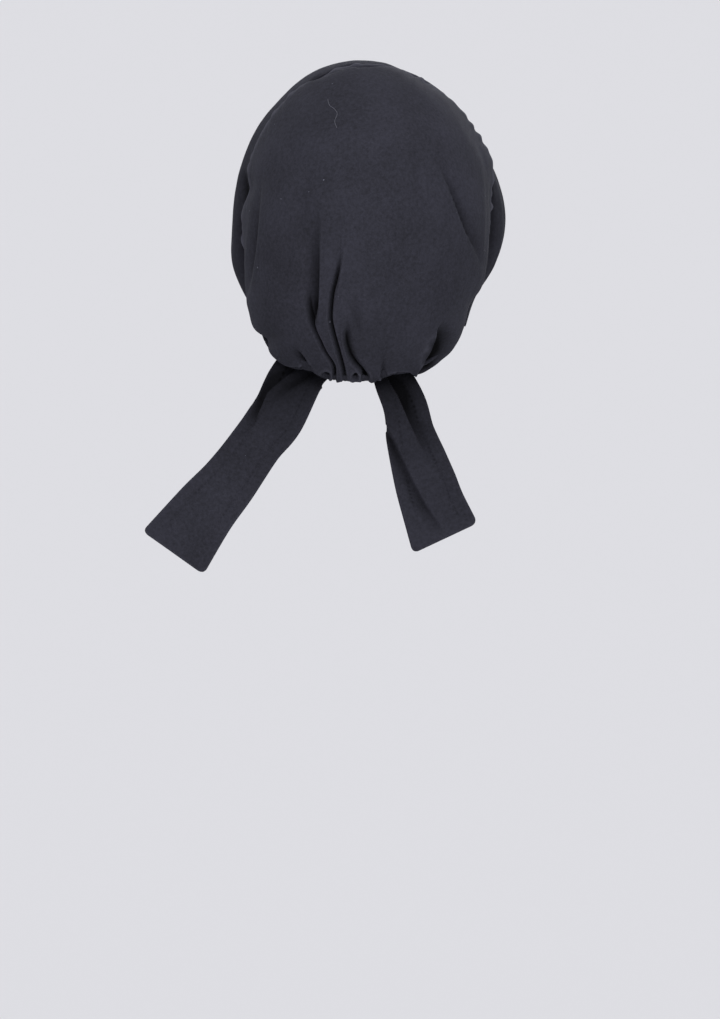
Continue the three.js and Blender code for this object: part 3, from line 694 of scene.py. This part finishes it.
x, y, z = np.moveaxis(bag_form, -1, 0)
behind = smoothstep(y, 0, 25)
swell = 0.55 * smoothstep(from_seam, 0, PUFF_CRISP) + 0.45 * smoothstep(from_seam, 0, PUFF_FULL)
flush = flat_at_ends(side)
relief = SEAM_PUFF * flush * swell * (1 - smoothstep(down, 0.7, 1.0))
relief = relief + dents(x, z, SEAM_SWELLS) * swell * np.exp(-from_seam / SWELL_REACH)
relief = relief - dents(x, z, SIDE_NOTCHES)
held = 1 - HELD_BY_ELASTIC * (1 - smoothstep(to_hem, 0, 6))
folds = sum(fold_relief(z, x, rows) for rows in BAG_FOLDS.values()) * behind * held
folds = folds + sum(fold_relief(z, x, rows) for rows in TOP_PLEATS)
pit_shade_and_highlight = np.zeros_like(x)
for pit_z, pit_x, size, depth in HEM_PITS:
    off = np.hypot(x - pit_x, z - pit_z) / size
    folds = folds + behind * depth * (0.1 * bell(off, 2.0, 0.6) - bell(off, 0, 1))
    # a painted shade inside each pit and a faint painted highlight round it
    pit_shade_and_highlight = pit_shade_and_highlight + behind * (0.08 * bell(off, 2.0, 0.5) - 0.9 * bell(off, 0, 1.1))
relief = relief + folds
puckers = wander(over, PUCKER_STEP, 11) * (0.6 + 0.4 * wander(over, 60, 12))
relief = relief + PUCKER_DEPTH * flush * puckers * np.exp(-from_seam / PUCKER_REACH) * smoothstep(
    from_seam, 0, 4)
drape = wander(over + 0.35 * from_seam, 46, 21) * wander(from_seam, 95, 22)
relief = relief + DRAPE_DEPTH * drape * smoothstep(from_seam, 10, 60) * smoothstep(to_hem, 0, 50)
gather_reach = 8 + 4 * np.tanh(wander(over, 17, 32))
gathered = smoothstep(side, -0.36, -0.2) * (1 - smoothstep(side, 0.24, 0.4))  # over the knot
relief = relief + 0.5 * gathered * wander(over, 7.5, 31) * np.exp(-to_hem / gather_reach)

bag_lift = BAG_WALL + relief
bag_places = seam_place + (hem_place - seam_place) * down
bag_outer = bag_form + bag_lift[..., None] * bag_normals
for lobe_side, spread, drop in LOBES:
    bag_outer[..., 2] -= drop * bell(side, lobe_side, spread) * smoothstep(down, 0.84, 1.0)
# Painted shade in the creases and pits; painted highlight on the ridges, along the hem's edge and on the
# swelling just behind the seam; and painted light and shade that follow the puckers.
bag_shade_and_highlight = fold_shade_and_highlight(folds) + 0.15 * np.exp(-to_hem / 0.9) + 0.3 * bell(from_seam, 6, 5)
bag_shade_and_highlight = bag_shade_and_highlight + pit_shade_and_highlight + 0.12 * puckers * np.exp(-from_seam / 12)
print("bag: length from seam to hem", from_seam[:, -1].min().round(), "to",
      from_seam[:, -1].max().round(), "mm")

# %% Make the bag's mesh
bag_outer_normals = unit_normals(bag_outer)
bag_grid, bag_grid_normals = roll_edge(bag_outer, bag_outer_normals, 1.5, math.pi, 6)
bag_grid, bag_grid_normals = roll_edge(bag_grid, bag_grid_normals, 1.1, math.pi * 0.75, 5,
                                       at_end=False)
bag_shade_and_highlight = np.pad(bag_shade_and_highlight, ((0, 0), (5, 6)), mode="edge")  # for the rows of the rolled edges
bag = cloth_piece("bag_cloth", bag_grid, bag_grid_normals, BAG_CLOTH, jersey_cloth, bag_shade_and_highlight)

# %% [markdown]
# ## The front band
#
# The band is two layers of jersey, stretched over the crown, so it is almost smooth. Near the ears
# it slackens into a soft roll and a couple of drag lines that run towards the straps. It passes
# under the bag's rolled edge, and a painted shadow makes the dark line beside the seam.

# %% Work out the band
BAND_WALL = 1.8
BAND_CLOTH = 1.4
CLEARANCE = 0.3
BAND_ROLL = 5.5  # how far the slack roll in front of the left ear stands out
ROLL_SIDE = 0.86
ROLL_SPREAD = 0.09
BAND_TUCK = 1.2  # how far the band dips under the bag's edge

# Where the stretched band lies closer to the head, in the same columns as the bag's notches.
BAND_DENTS = [
    (-62.0, 82.0, 42.0, 26.0, 2.6),
    (-24.0, 60.0, 17.0, 28.0, 2.2),
    (-46.0, -76.0, 30.0, 30.0, 4.0),
    (-150.0, 84.0, 16.0, 18.0, 2.4),
    (-6.0, -42.0, 14.0, 24.0, 2.8),
    (-108.0, -100.0, 24.0, 16.0, -1.8),
    (-163.0, -86.0, 20.0, 16.0, 4.6),
]

BAND_FOLDS = [
    [(-86, -85, 2.4, 2.4, 0), (-98, -87, 2.2, 2.6, 1.6), (-112, -87.6, 2, 2.6, 2.4),
     (-124, -86.6, 2, 2.6, 2.2), (-142, -82, 2.4, 2.4, 0)],
    [(-94, 87.6, 1.2, 1.6, 0), (-108, 86.2, 1, 1.6, 2.4), (-120, 84.5, 1, 1.6, 3.2),
     (-136, 81.6, 1, 1.4, 2), (-148, 79, 1.4, 1.4, 0)],
    [(-74, 85.0, 1.6, 1.6, 0), (-82, 85.2, 1.4, 1.8, 3.6), (-88, 85.2, 1.4, 1.8, 4.6),
     (-95, 85.2, 1.4, 1.6, 3.6), (-103, 86.0, 1.6, 1.6, 0)],
]

band_sides = dense_stops(-CORNER_SIDE, CORNER_SIDE, 300, [(0.75, 0.2, 1.0), (-0.75, 0.2, 0.6)])
band_rows = dense_stops(0, 1, 110, [(1, 0.08, 1.5), (0, 0.05, 1.0)])
side = band_sides[:, None]
back = band_rows[None, :]
rear = place_behind(side, seam_arch(side), -CLEARANCE)
band_form = arch_point(side, FRONT_ARCH + (rear - FRONT_ARCH) * back)
band_normals = unit_normals(band_form)
from_front = lengths_on(band_form, 1)
to_seam = from_front[:, -1:] - from_front
over = lengths_on(band_form, 0)
over = over - np.interp(0, band_sides, over[:, 0])

off = (side - ROLL_SIDE) / ROLL_SPREAD
relief = BAND_ROLL * (1 - 0.5 * off**2) * np.exp(-0.5 * off**2) * smoothstep(back, -0.1, 0.5) * (
    1 - smoothstep(back, 0.65, 0.99))
flush = flat_at_ends(side)
relief = relief - BAND_TUCK * flush * np.exp(-to_seam / 3.0)
relief = relief + 0.5 * flush * wander(over, 16, 41) * np.exp(-to_seam / 14) * smoothstep(
    to_seam, 0, 4)
relief = relief + 0.35 * wander(to_seam + 0.3 * over, 19, 42) * smoothstep(np.abs(side), 0.4, 0.8)
x, y, z = np.moveaxis(band_form, -1, 0)
relief = relief - dents(x, z, BAND_DENTS)
folds = sum(fold_relief(z, x, rows) for rows in BAND_FOLDS)
relief = relief + folds
top = smoothstep(z, -45, -10)  # near the crown: less painted shadow here, and a painted highlight
painted_seam_shadow = 0.7 * np.exp(-to_seam / 3) + 0.12 * np.exp(-to_seam / 14)  # painted shadow of the bag's edge, and a faint painted dimming further out
# Painted shade in the folds and along the seam, painted highlight on the ridges and on the crown.
band_shade_and_highlight = fold_shade_and_highlight(1.2 * folds) - painted_seam_shadow * (1 - 0.7 * top) + 0.1 * top
band_lift = BAND_WALL + relief
band_places = FRONT_ARCH + (rear - FRONT_ARCH) * back
band_outer = band_form + band_lift[..., None] * band_normals
band_outer_normals = unit_normals(band_outer)
band_grid, band_grid_normals = roll_edge(band_outer, band_outer_normals, 0.8, math.pi, 5,
                                         at_end=False)
band_shade_and_highlight = np.pad(band_shade_and_highlight, ((0, 0), (5, 0)), mode="edge")
band = cloth_piece("band_cloth", band_grid, band_grid_normals, BAND_CLOTH, band_cloth, band_shade_and_highlight)

# %% [markdown]
# ## The elastic casing
#
# The hem is turned over a narrow elastic. Seen from behind, only a thin ribbed edge of it shows
# below the bag. It is a flat tube that follows the hem, so its section is a rounded rectangle, and
# close little gathers run across it.

# %% Work out the casing
CASING_SIDE = 0.87
CASING_WIDTH = 9
CASING_THICK = 2.6
CASING_START = -5  # on the cloth, from the hem to the casing's upper edge, hidden by the bag
CASING_TUCK = -0.9  # of its outer face, under the bag's inner one
CASING_DROP = 1.6  # below the bag's edge, so that a thin strip of it shows
RIB_STEP = 2.6
RIB_DEPTH = 0.12  # as a share of the casing's thickness
CASING_RINGS = 421
CASING_CORNERS = 24

casing_sides = np.linspace(-CASING_SIDE, CASING_SIDE, CASING_RINGS)[:, None]
hem = hem_arch(casing_sides)
near = arch_point(casing_sides, place_behind(casing_sides, hem, CASING_START))
far = arch_point(casing_sides, place_behind(casing_sides, hem, CASING_START + CASING_WIDTH))
middle = ((near + far) / 2)[:, 0]
inward = (far - near)[:, 0]
inward /= np.linalg.norm(inward, axis=-1, keepdims=True)
ahead = np.gradient(middle, axis=0)
ahead /= np.linalg.norm(ahead, axis=-1, keepdims=True)
facing = np.cross(ahead, inward)
facing /= np.linalg.norm(facing, axis=-1, keepdims=True)
along_hem = lengths_on(middle[:, None], 0)[:, 0]
angles = np.linspace(0, 2 * np.pi, CASING_CORNERS, endpoint=False)
ribs = 1 + RIB_DEPTH * np.sin(2 * np.pi * along_hem / RIB_STEP + 2 * wander(along_hem, 9, 51))
wide = np.sign(np.cos(angles)) * np.abs(np.cos(angles)) ** 0.5 * CASING_WIDTH / 2
thick = np.sign(np.sin(angles)) * np.abs(np.sin(angles)) ** 0.7 * CASING_THICK / 2
rings = (
    middle[:, None]
    + inward[:, None] * wide[None, :, None]
    + facing[:, None] * (thick[None, :] * ribs[:, None] + CASING_TUCK - CASING_THICK / 2)[..., None]
)
rings[..., 2] -= CASING_DROP
casing = tube_piece("casing_cloth", rings[:, ::-1],
                    np.tile(along_hem[:, None], (1, CASING_CORNERS)),
                    np.tile(wide[None, :], (CASING_RINGS, 1)), tape_cloth)

# %% [markdown]
# ## The straps
#
# Each strap grows out of the band's lower corner and narrows on its way to the knot, so its cloth
# bunches into long pleats. Every thread of it is a smooth curve from the corner to the knot, and
# the pleats deepen as the threads draw together. The strap's root is sewn in under the corners of
# the band and the bag, so it follows their inner faces there and nothing gapes.

# %% Knot place, and the straps
KNOT_SIDE = 3  # to the wearer's left
KNOT_INSIDE_HEM = 19
KNOT_ABOVE_HEM = 26
KNOT_SIZE = np.array([30, 17, 24])
STRAP_END_WIDTH = 13
STRAP_WALL = 1.6
STRAP_ROOT = 1.35  # how far back the strap grows, as a share of the band, to fill the corner
STRAP_LAP = 2  # of the strap under the band's edge
STRAP_REACH = 0.4
STRAP_END = np.array([0, -0.12, 0.04])  # from the knot's middle, as shares of its size
STRAP_TUCK = 8  # where the bag's side notches press on it
PLEAT_DEPTH = 1.1

hem_middle = arch_point(0, HEM_ARCH)
knot_middle = hem_middle + (KNOT_SIDE - hem_middle[0], -KNOT_INSIDE_HEM, KNOT_ABOVE_HEM)


def band_face(side, share):
    """The band's inner face at a side, from its front edge at 0 to its seam at 1."""
    rear = place_behind(side, seam_arch(side), -CLEARANCE)
    return arch_point(side, FRONT_ARCH + (rear - FRONT_ARCH) * share)


def corner_lift(hand, share):
    """How far the cloth of the band, and of the bag behind it, stands out at a lower corner."""
    edge = -1 if hand > 0 else 0
    places = np.concatenate([band_places[edge], bag_places[edge]])
    lifts = np.concatenate([band_lift[edge], bag_lift[edge]])
    return np.interp(share * band_places[edge, -1], places, lifts)


def strap(name, hand):
    """A strap: a grid of Bezier threads from the band's corner to the knot, with pleats."""
    along = np.linspace(0, 1, 120)[:, None, None]
    across = np.linspace(0, 1, 60)
    share = across if hand > 0 else 1 - across
    rooted = share * STRAP_ROOT
    corner = band_face(np.full_like(share, hand * CORNER_SIDE), rooted)
    inside = band_face(np.full_like(share, hand * (CORNER_SIDE - 1e-3)), rooted)
    outwards = corner - inside
    outwards /= np.linalg.norm(outwards, axis=-1, keepdims=True)
    start = corner - STRAP_LAP * outwards
    end = knot_middle + STRAP_END * KNOT_SIZE + np.stack(
        [0 * share, 0 * share, STRAP_END_WIDTH * (share - 0.5)], -1)
    arrival = np.array([-hand, 0.12, -0.1])
    arrival /= np.linalg.norm(arrival)
    pull = STRAP_REACH * np.linalg.norm(end - start, axis=-1, keepdims=True)
    second, third = start + outwards * pull, end - arrival * pull
    t = along
    form = ((1 - t) ** 3 * start + 3 * (1 - t) ** 2 * t * second + 3 * (1 - t) * t**2 * third
            + t**3 * end)
    normals = unit_normals(form)
    pleats = wander(share * 60, 13, 61 + hand) + 0.5 * wander(share * 60, 6, 63 + hand)
    relief = PLEAT_DEPTH * pleats * smoothstep(t[..., 0], 0.05, 0.7)
    rooted_lift = corner_lift(hand, rooted) - BAND_CLOTH - 0.1
    leave = 1 - smoothstep(t[..., 0], 0.02, 0.35)  # from under the corner
    wall = STRAP_WALL + (rooted_lift - STRAP_WALL) * leave
    outer = form + (wall + relief)[..., None] * normals
    outer[..., 0] -= hand * STRAP_TUCK * bell(outer[..., 2], -192, 17) * smoothstep(
        np.abs(outer[..., 0]), 40, 62)
    outer_normals = unit_normals(outer)
    # Painted shade in the pleats' hollows and painted highlight on their crests.
    shade = fold_shade_and_highlight(2.5 * relief)
    return cloth_piece(name, outer, outer_normals, STRAP_WALL - 0.2, band_cloth, shade)


straps = [strap("strap_cloth_left", 1), strap("strap_cloth_right", -1)]

# %% [markdown]
# ## The knot
#
# The straps cross and tie in one half knot under the hem. It is a small lump of cloth with a wrap
# round its middle. Two surfaces make it: a lump whose pleats run from side to side, and a broad
# wrap that crosses over it on a slant.

# %% Tie the knot
def knot_lump():
    """The knot's core: an ellipsoid whose radius ripples with the pleats. An angle round the
    x axis and a share along it give each point."""
    t = np.linspace(0.02, 0.98, 90)[:, None]
    around = np.linspace(0, 2 * np.pi, 120, endpoint=False)[None, :]
    swell = np.sin(np.pi * t) ** 0.6
    pleats = 1 + 0.05 * np.sin(5 * around + 5 * t) + 0.03 * np.sin(9 * around - 7 * t)
    waist = 1 - 0.1 * bell(t, 0.5, 0.16)
    points = np.stack([
        (t - 0.5) * KNOT_SIZE[0] + 0 * around,
        0.46 * KNOT_SIZE[1] * swell * pleats * waist * np.cos(around),
        0.46 * KNOT_SIZE[2] * swell * pleats * waist * np.sin(around),
    ], -1)
    return points + knot_middle, t * KNOT_SIZE[0] + 0 * around, around * 10 + 0 * t


def knot_wrap():
    """The wrap: a flat band of cloth carried round an ellipse that leans over the lump. Its
    section is a thin ellipse with two pleats in it."""
    t = np.linspace(0, 2 * np.pi, 140, endpoint=False)
    spin = np.linspace(0, 2 * np.pi, 40, endpoint=False)
    lean = 0.35
    ring = np.stack([lean * 7 * np.sin(t), 0.5 * (KNOT_SIZE[1] - 1.5) * np.cos(t),
                     0.5 * (KNOT_SIZE[2] - 1.5) * np.sin(t)], -1)
    ahead = np.gradient(np.concatenate([ring[-1:], ring, ring[:1]]), axis=0)[1:-1]
    ahead /= np.linalg.norm(ahead, axis=-1, keepdims=True)
    out = ring * (0.3, 1, 1)
    out /= np.linalg.norm(out, axis=-1, keepdims=True)
    wide = np.cross(ahead, out)
    width = 6.2 + 0.8 * np.cos(2 * t)
    pleat = 1 + 0.45 * np.cos(3 * spin)
    return (
        ring[:, None]
        + wide[:, None] * (width[:, None] * np.cos(spin)[None])[..., None]
        + out[:, None] * (1.7 * np.sin(spin) * pleat)[None, :, None]
        + knot_middle
    )


lump_rings, lump_across, lump_along = knot_lump()
knot = tube_piece("knot_lump", lump_rings, lump_across, lump_along, jersey_cloth)
wrap = closed_ring_piece("knot_wrap", knot_wrap(), jersey_cloth)

# %% [markdown]
# ## The tails
#
# The tails are flat double strips with a turned edge all round. They widen from the knot to a
# square end. One swings out to the wearer's left and one hangs nearly straight. Both keep soft
# lengthwise folds from the knot, which fade before the end.

# %% Sizes and folds of the tails
TAIL_LEAN = 40
TAIL_WIDTH = 50
TAIL_CORNER = 5
UNDER_HEM_Z = -224  # the bag's shadow is painted on the tails' tops from here up
UNDER_HEM_REACH = 19
UNDER_HEM_SHADE = 0.66
STITCH = 3  # millimetres, as drawn
STITCH_LINE = 9.2  # from the tail's edge
EDGE_ROUND = 0.9  # how far the turned edge rounds off
TAIL_COLUMNS = ("side", "back", "down", "width", "turn")
# The tone of each tail is a painted shade over the whole of it, deeper on the right tail.
TAILS = {
    "left": {
        "from": 0.27, "fall": 137, "spread": 119, "slant": 0, "tone": -0.06,
        "rows": np.array([
            (0.0, 0.0, 0.0, 0.3, 0),
            (0.14, -0.13, 0.05, 0.5, 20),
            (0.296, -0.25, 0.132, 0.78, 28),
            (0.432, -0.09, 0.356, 0.8, 20),
            (0.549, 0.11, 0.49, 0.72, 12),
            (0.702, 0.37, 0.671, 0.78, 9),
            (0.842, 0.64, 0.816, 0.86, 7),
            (1.015, 0.93, 1.02, 1.0, 6),
        ]),
        "folds": [
            [(-206, 42.0, 1.0, 6.0, 0.0), (-212, 46.4, 0.9, 6.0, 2.2), (-219.6, 57.4, 0.8, 6.0, 3.4),
             (-229.2, 68.2, 0.8, 5.5, 4.0), (-235, 71.7, 0.8, 5.0, 4.0), (-244.9, 75.4, 0.8, 5.0, 3.2),
             (-251.5, 78.1, 0.8, 5.0, 2.0), (-262.6, 88.9, 1.2, 5.0, 0.9), (-272, 96.0, 2.0, 5.0, 0.0)],
            [(-212, 34.0, 2.6, 3.0, 0.0), (-218.7, 40.6, 2.4, 3.4, 2.2), (-225.2, 50.1, 2.2, 4.0, 2.2),
             (-231.7, 59.7, 2.4, 4.0, 1.4), (-238, 66.5, 3.0, 4.0, 0.0)],
        ],
    },
    "right": {
        "from": -0.27, "fall": 130, "spread": -44, "slant": -7, "tone": -0.16,
        "rows": np.array([
            (0.0, 0.0, 0.0, 0.3, 0),
            (0.13, -0.04, 0.07, 0.42, -6),
            (0.259, -0.09, 0.173, 0.55, -12),
            (0.436, 0.0, 0.312, 0.61, -10),
            (0.518, 0.23, 0.459, 0.66, -7),
            (0.633, 0.46, 0.608, 0.77, -5),
            (0.722, 0.66, 0.715, 0.835, -4),
            (0.828, 0.87, 0.836, 0.87, -4),
            (1.0, 1.07, 1.0, 0.957, -4),
        ]),
        "folds": [
            [(-214, -10.4, 6.0, 1.4, 0.0), (-224.5, -15.4, 8.0, 0.8, 3.6), (-232.1, -20.1, 8.5, 0.8, 4.2),
             (-242.5, -24.6, 8.5, 0.8, 4.0), (-253, -29.0, 8.0, 0.9, 3.4), (-265.4, -34.4, 7.0, 1.0, 2.2),
             (-275, -39.8, 6.0, 1.4, 1.0), (-286, -45.0, 5.0, 2.0, 0.0)],
            [(-248, -6.6, 0.9, 5.0, 0.0), (-255.8, -11.2, 0.8, 5.0, 3.6), (-263.5, -15.7, 0.8, 5.5, 4.2),
             (-276.8, -21.1, 0.8, 6.0, 3.4), (-292.9, -28.2, 0.8, 6.5, 3.2), (-307.8, -35.9, 0.9, 6.5, 3.0),
             (-318.4, -42.5, 1.2, 6.0, 1.8), (-328, -48.6, 2.0, 5.0, 0.0)],
            [(-282, -38.0, 4.0, 2.0, 0.0), (-293.8, -45.5, 4.5, 1.0, 0.7), (-304.3, -53.8, 4.5, 1.0, 0.8),
             (-314.5, -63.2, 4.0, 1.2, 0.4), (-320, -67.0, 4.0, 2.0, 0.0)],
        ],
    },
}


def tail_grid(tail):
    """A tail's outer face: a middle line read from the table, with a straight line across it at
    each place. The corners are rounded by narrowing the last rows round a quarter circle."""
    rows = dict(zip(TAIL_COLUMNS, tail["rows"].T))
    last = len(tail["rows"]) - 1
    length = math.sqrt(tail["fall"] ** 2 + tail["spread"] ** 2 + TAIL_LEAN**2)
    corner = TAIL_CORNER / length
    curve = 1 - corner * (1 - np.sin(np.linspace(0, np.pi / 2, 14)))[1:]
    along = np.concatenate([np.linspace(0, 1 - corner, 230), curve])
    across = np.linspace(-0.5, 0.5, 71)
    leave = knot_middle + np.array([tail["from"], 0.06, -0.08]) * KNOT_SIZE

    def middle(place):
        read = {name: read_smooth(column, place * last) for name, column in rows.items()}
        return leave + np.stack([tail["spread"] * read["side"], TAIL_LEAN * read["back"],
                                 -tail["fall"] * read["down"]], -1)

    ahead = middle(along + 1e-3) - middle(along - 1e-3)
    ahead /= np.linalg.norm(ahead, axis=-1, keepdims=True)
    turn = np.radians(read_smooth(rows["turn"], along * last))
    facing = np.stack([np.sin(turn), np.cos(turn), 0 * turn], -1)
    sideways = np.cross(facing, ahead)
    sideways /= np.linalg.norm(sideways, axis=-1, keepdims=True)
    to_end = np.clip((1 - along) * length, 0, TAIL_CORNER)
    inset = TAIL_CORNER - np.sqrt(TAIL_CORNER**2 - (TAIL_CORNER - to_end) ** 2)
    width = TAIL_WIDTH * read_smooth(rows["width"], along * last) - 2 * inset
    offset = width[:, None] * across[None]
    slant = offset * math.tan(math.radians(tail["slant"])) * along[:, None] ** 3
    flat = middle(along)[:, None] + sideways[:, None] * offset[..., None]
    flat = flat + ahead[:, None] * slant[..., None]
    return flat, along * length, offset


def tail_piece(name, tail, seed):
    """A tail with its folds, a soft wave and the ridge of its turned edges."""
    flat, down_mm, offset = tail_grid(tail)
    normals = unit_normals(flat)
    run = down_mm[:, None] + 0 * offset
    folds = sum(fold_relief(flat[..., 2], flat[..., 0], rows) for rows in tail["folds"])
    # Painted shade in the folds and under the hem, where the bag's shadow falls, and painted highlight on
    # the folds' ridges.
    shade = fold_shade_and_highlight(0.95 * folds) - UNDER_HEM_SHADE * np.exp(
        np.minimum(flat[..., 2] - UNDER_HEM_Z, 0) / UNDER_HEM_REACH)
    shade = np.maximum(shade, -0.8)
    relief = folds + 0.5 * wander(run + 0.5 * offset, 48, seed) * smoothstep(run, 30, 80)
    half = np.abs(offset[:, -1:])
    to_edge = np.minimum(half - np.abs(offset), down_mm[-1] - run)
    turned = 0.25 * (1 - smoothstep(to_edge, STITCH_LINE - 0.6, STITCH_LINE + 0.4))
    turned = turned - 0.35 * bell(to_edge, STITCH_LINE, 0.9)
    worn = 0.22 * wander(run, 5.5, seed + 1) * bell(to_edge, 8.5, 4)
    relief = relief + (turned + worn) * smoothstep(run, 55, 80)
    # A painted highlight along the edges and painted shade in dots along the stitch line; the tail's tone
    # adds a painted shade over all of it.
    faint = 0.55 + 0.45 * np.clip(wander(run + offset, 34, seed + 2), -1, 1)
    faint = faint * (0.7 + 0.9 * np.sin(2 * np.pi * run / STITCH))
    edge_highlight_and_stitch_shade = 0.12 * bell(to_edge, 0.6, 0.8) - 0.22 * faint * bell(to_edge, STITCH_LINE, 0.7)
    shade = shade + tail["tone"] + edge_highlight_and_stitch_shade * smoothstep(run, 30, 60)
    outer = flat + (STRAP_WALL + relief)[..., None] * normals
    outer_normals = unit_normals(outer)
    rounded = 0.7 * (1 - np.sqrt(1 - np.clip(1 - to_edge / EDGE_ROUND, 0, 1) ** 2))
    outer = outer - rounded[..., None] * outer_normals
    inner_depth = STRAP_WALL - 2 * rounded
    return cloth_piece(name, outer, outer_normals * (inner_depth / STRAP_WALL)[..., None],
                       STRAP_WALL, jersey_cloth, shade)


tail_left = tail_piece("tail_cloth_left", TAILS["left"], 71)
tail_right = tail_piece("tail_cloth_right", TAILS["right"], 75)

# %% [markdown]
# ## A stray thread
#
# Black jersey collects pale lint. One curled thread sticks to the upper left of the bag, and it
# is laid down where the camera saw it: a ray from the lens through each spot meets the cloth.

# %% Lay the thread on the bag
THREAD_SEEN = np.array([
    (328, 99.5), (328.6, 103), (330, 106), (333, 108), (335.5, 110.5), (337.2, 113), (337, 116),
    (335.6, 119), (334.9, 122), (335.6, 125), (336.8, 128)])
THREAD_RADIUS = 0.13
THREAD_LIFT = 0.35  # above the cloth
THREAD_STEPS = 70
BEHIND_ONLY = 900  # pixels that keep the cloth in front of the crown out of the search

lens = np.array(camera.location) / MM
seen = seen_at(bag_outer)
near_spot = np.linalg.norm(seen[:, :, None] - THREAD_SEEN, axis=-1)
near_spot = near_spot + BEHIND_ONLY * (bag_outer[..., 1:2] < 0)
nearest = near_spot.reshape(-1, len(THREAD_SEEN)).argmin(0)
spots = bag_outer.reshape(-1, 3)[nearest]
facing = bag_outer_normals.reshape(-1, 3)[nearest]
slope = (PHOTO_SIZE / 2 - THREAD_SEEN) / pixels_to_subject
rays = np.array([-turn_sin, -turn_cos, 0]) + slope[:, :1] * (turn_cos, -turn_sin, 0) + (
    slope[:, 1:] * (0, 0, 1))
reach_ray = ((spots - lens) * facing).sum(-1) / (rays * facing).sum(-1)
knots = lens + rays * reach_ray[:, None] + THREAD_LIFT * facing
steps = np.linspace(0, len(knots) - 1, THREAD_STEPS)
line = np.stack([read_smooth(knots[:, k], steps) for k in range(3)], -1)
up = np.stack([read_smooth(facing[:, k], steps) for k in range(3)], -1)
ahead = np.gradient(line, axis=0)
ahead /= np.linalg.norm(ahead, axis=-1, keepdims=True)
sideways = np.cross(ahead, up)
sideways /= np.linalg.norm(sideways, axis=-1, keepdims=True)
up = np.cross(sideways, ahead)
spin = np.linspace(0, 2 * np.pi, 6, endpoint=False)
rings = line[:, None] + THREAD_RADIUS * (
    np.cos(spin)[None, :, None] * sideways[:, None] + np.sin(spin)[None, :, None] * up[:, None])
lint_thread = tube_piece("lint_thread", rings, np.tile(steps[:, None], (1, 6)),
                         np.tile(spin[None], (THREAD_STEPS, 1)), thread)

# %% [markdown]
# ## A plain studio
#
# A pale floor sweeps up into pale walls all round, so the cap hangs against the same quiet tone
# from every side. The key light stands a little above the camera's line and lights the cap's back
# almost evenly, as in the photograph. A low fill opens the hem and the tails, a light from above
# pales the crown's rim, and one in front shows the face opening in the other views.

# %% Floor and walls
FLOOR_Z = -2800
STUDIO_RADIUS = 5000
SWEEP = 1500
WALL_TOP = 3600

t = np.linspace(0, 1, 40)
flat_part = np.stack([np.linspace(0, STUDIO_RADIUS - SWEEP, 10), np.full(10, FLOOR_Z)], -1)
sweep_part = np.stack([STUDIO_RADIUS - SWEEP + SWEEP * np.sin(t * np.pi / 2),
                       FLOOR_Z + SWEEP * (1 - np.cos(t * np.pi / 2))], -1)
wall_part = np.array([[STUDIO_RADIUS, WALL_TOP]])
profile = np.concatenate([flat_part[1:], sweep_part[1:], wall_part])
turns = np.linspace(0, 2 * np.pi, 96, endpoint=False)
studio_rings = np.stack([
    profile[:, :1] * np.cos(turns), profile[:, :1] * np.sin(turns),
    np.repeat(profile[:, 1:], len(turns), 1)], -1)
count, around = studio_rings.shape[:2]
index = np.arange(count * around).reshape(count, around)
studio_faces = np.stack([index[:-1], np.roll(index[:-1], -1, 1), np.roll(index[1:], -1, 1),
                         index[1:]], -1).reshape(-1, 4).tolist()
studio_faces.append(index[0].tolist())
paper, _, paper_shader = new_material(
    "studio paper, pale grey, lit from behind", Base_Color=colour("#a0a0a3"), Roughness=1.0,
    Emission_Color=colour("#e0e0e3"), Emission_Strength=0.6)
paper_shader.inputs["Specular IOR Level"].default_value = 0.0
studio_points = studio_rings.reshape(-1, 3)
studio = new_piece("studio", studio_points, studio_faces, studio_points[:, :2], paper)

# %% Lights
CAP_MIDDLE = np.array([0, 0.03, -0.14])
LIGHTS = {  # place and size in metres, and watts
    "key": ((0.1, 2.0, 0.3), 0.8, 27),
    "low fill": ((-1.3, 1.5, -0.5), 0.8, 7),
    "top": ((0.1, 0.2, 1.5), 0.8, 7.5),
    "front": ((-0.3, -2.0, 0.5), 1.1, 18),
}


def soft_light(name, place, size, watts):
    """A square area light at a place in metres that looks at the middle of the cap."""
    data = bpy.data.lights.new(name, "AREA")
    data.shape = "SQUARE"
    data.size = size
    data.energy = watts
    light = bpy.data.objects.new(name, data)
    bpy.context.scene.collection.objects.link(light)
    direction = CAP_MIDDLE - np.array(place)
    direction = direction / np.linalg.norm(direction)
    light.location = place
    light.rotation_euler = (
        math.acos(-direction[2]), 0, math.atan2(direction[0], -direction[1]) + math.pi)
    light.visible_camera = False


for name, (place, size, watts) in LIGHTS.items():
    soft_light(name, place, size, watts)
world = bpy.data.worlds.new("studio air")
world.use_nodes = True
world.node_tree.nodes["Background"].inputs["Color"].default_value = colour("#dedee1")
world.node_tree.nodes["Background"].inputs["Strength"].default_value = 1.0
bpy.context.scene.world = world
bpy.context.scene.view_settings.view_transform = "Standard"

# %% [markdown]
# ## Hand the pieces to the frame
#
# Each piece of cloth stands for a plain solid, which stays in the physics model. Nothing on this
# cap moves at a joint, so every piece rides on the one body.

# %% Replace and ride
ROOT = "root"
pairs = {
    "crown_bag": (bag, "jersey"),
    "front_band": (band, "jersey"),
    "nape_casing": (casing, "tape"),
    "strap_left": (straps[0], "jersey"),
    "strap_right": (straps[1], "jersey"),
    "tie_knot": (knot, "jersey"),
    "tail_left": (tail_left, "jersey"),
    "tail_right": (tail_right, "jersey"),
}
for node, (piece, slot) in pairs.items():
    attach(piece, ROOT)
    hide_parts(node)
for piece in (wrap, lint_thread):
    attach(piece, ROOT)
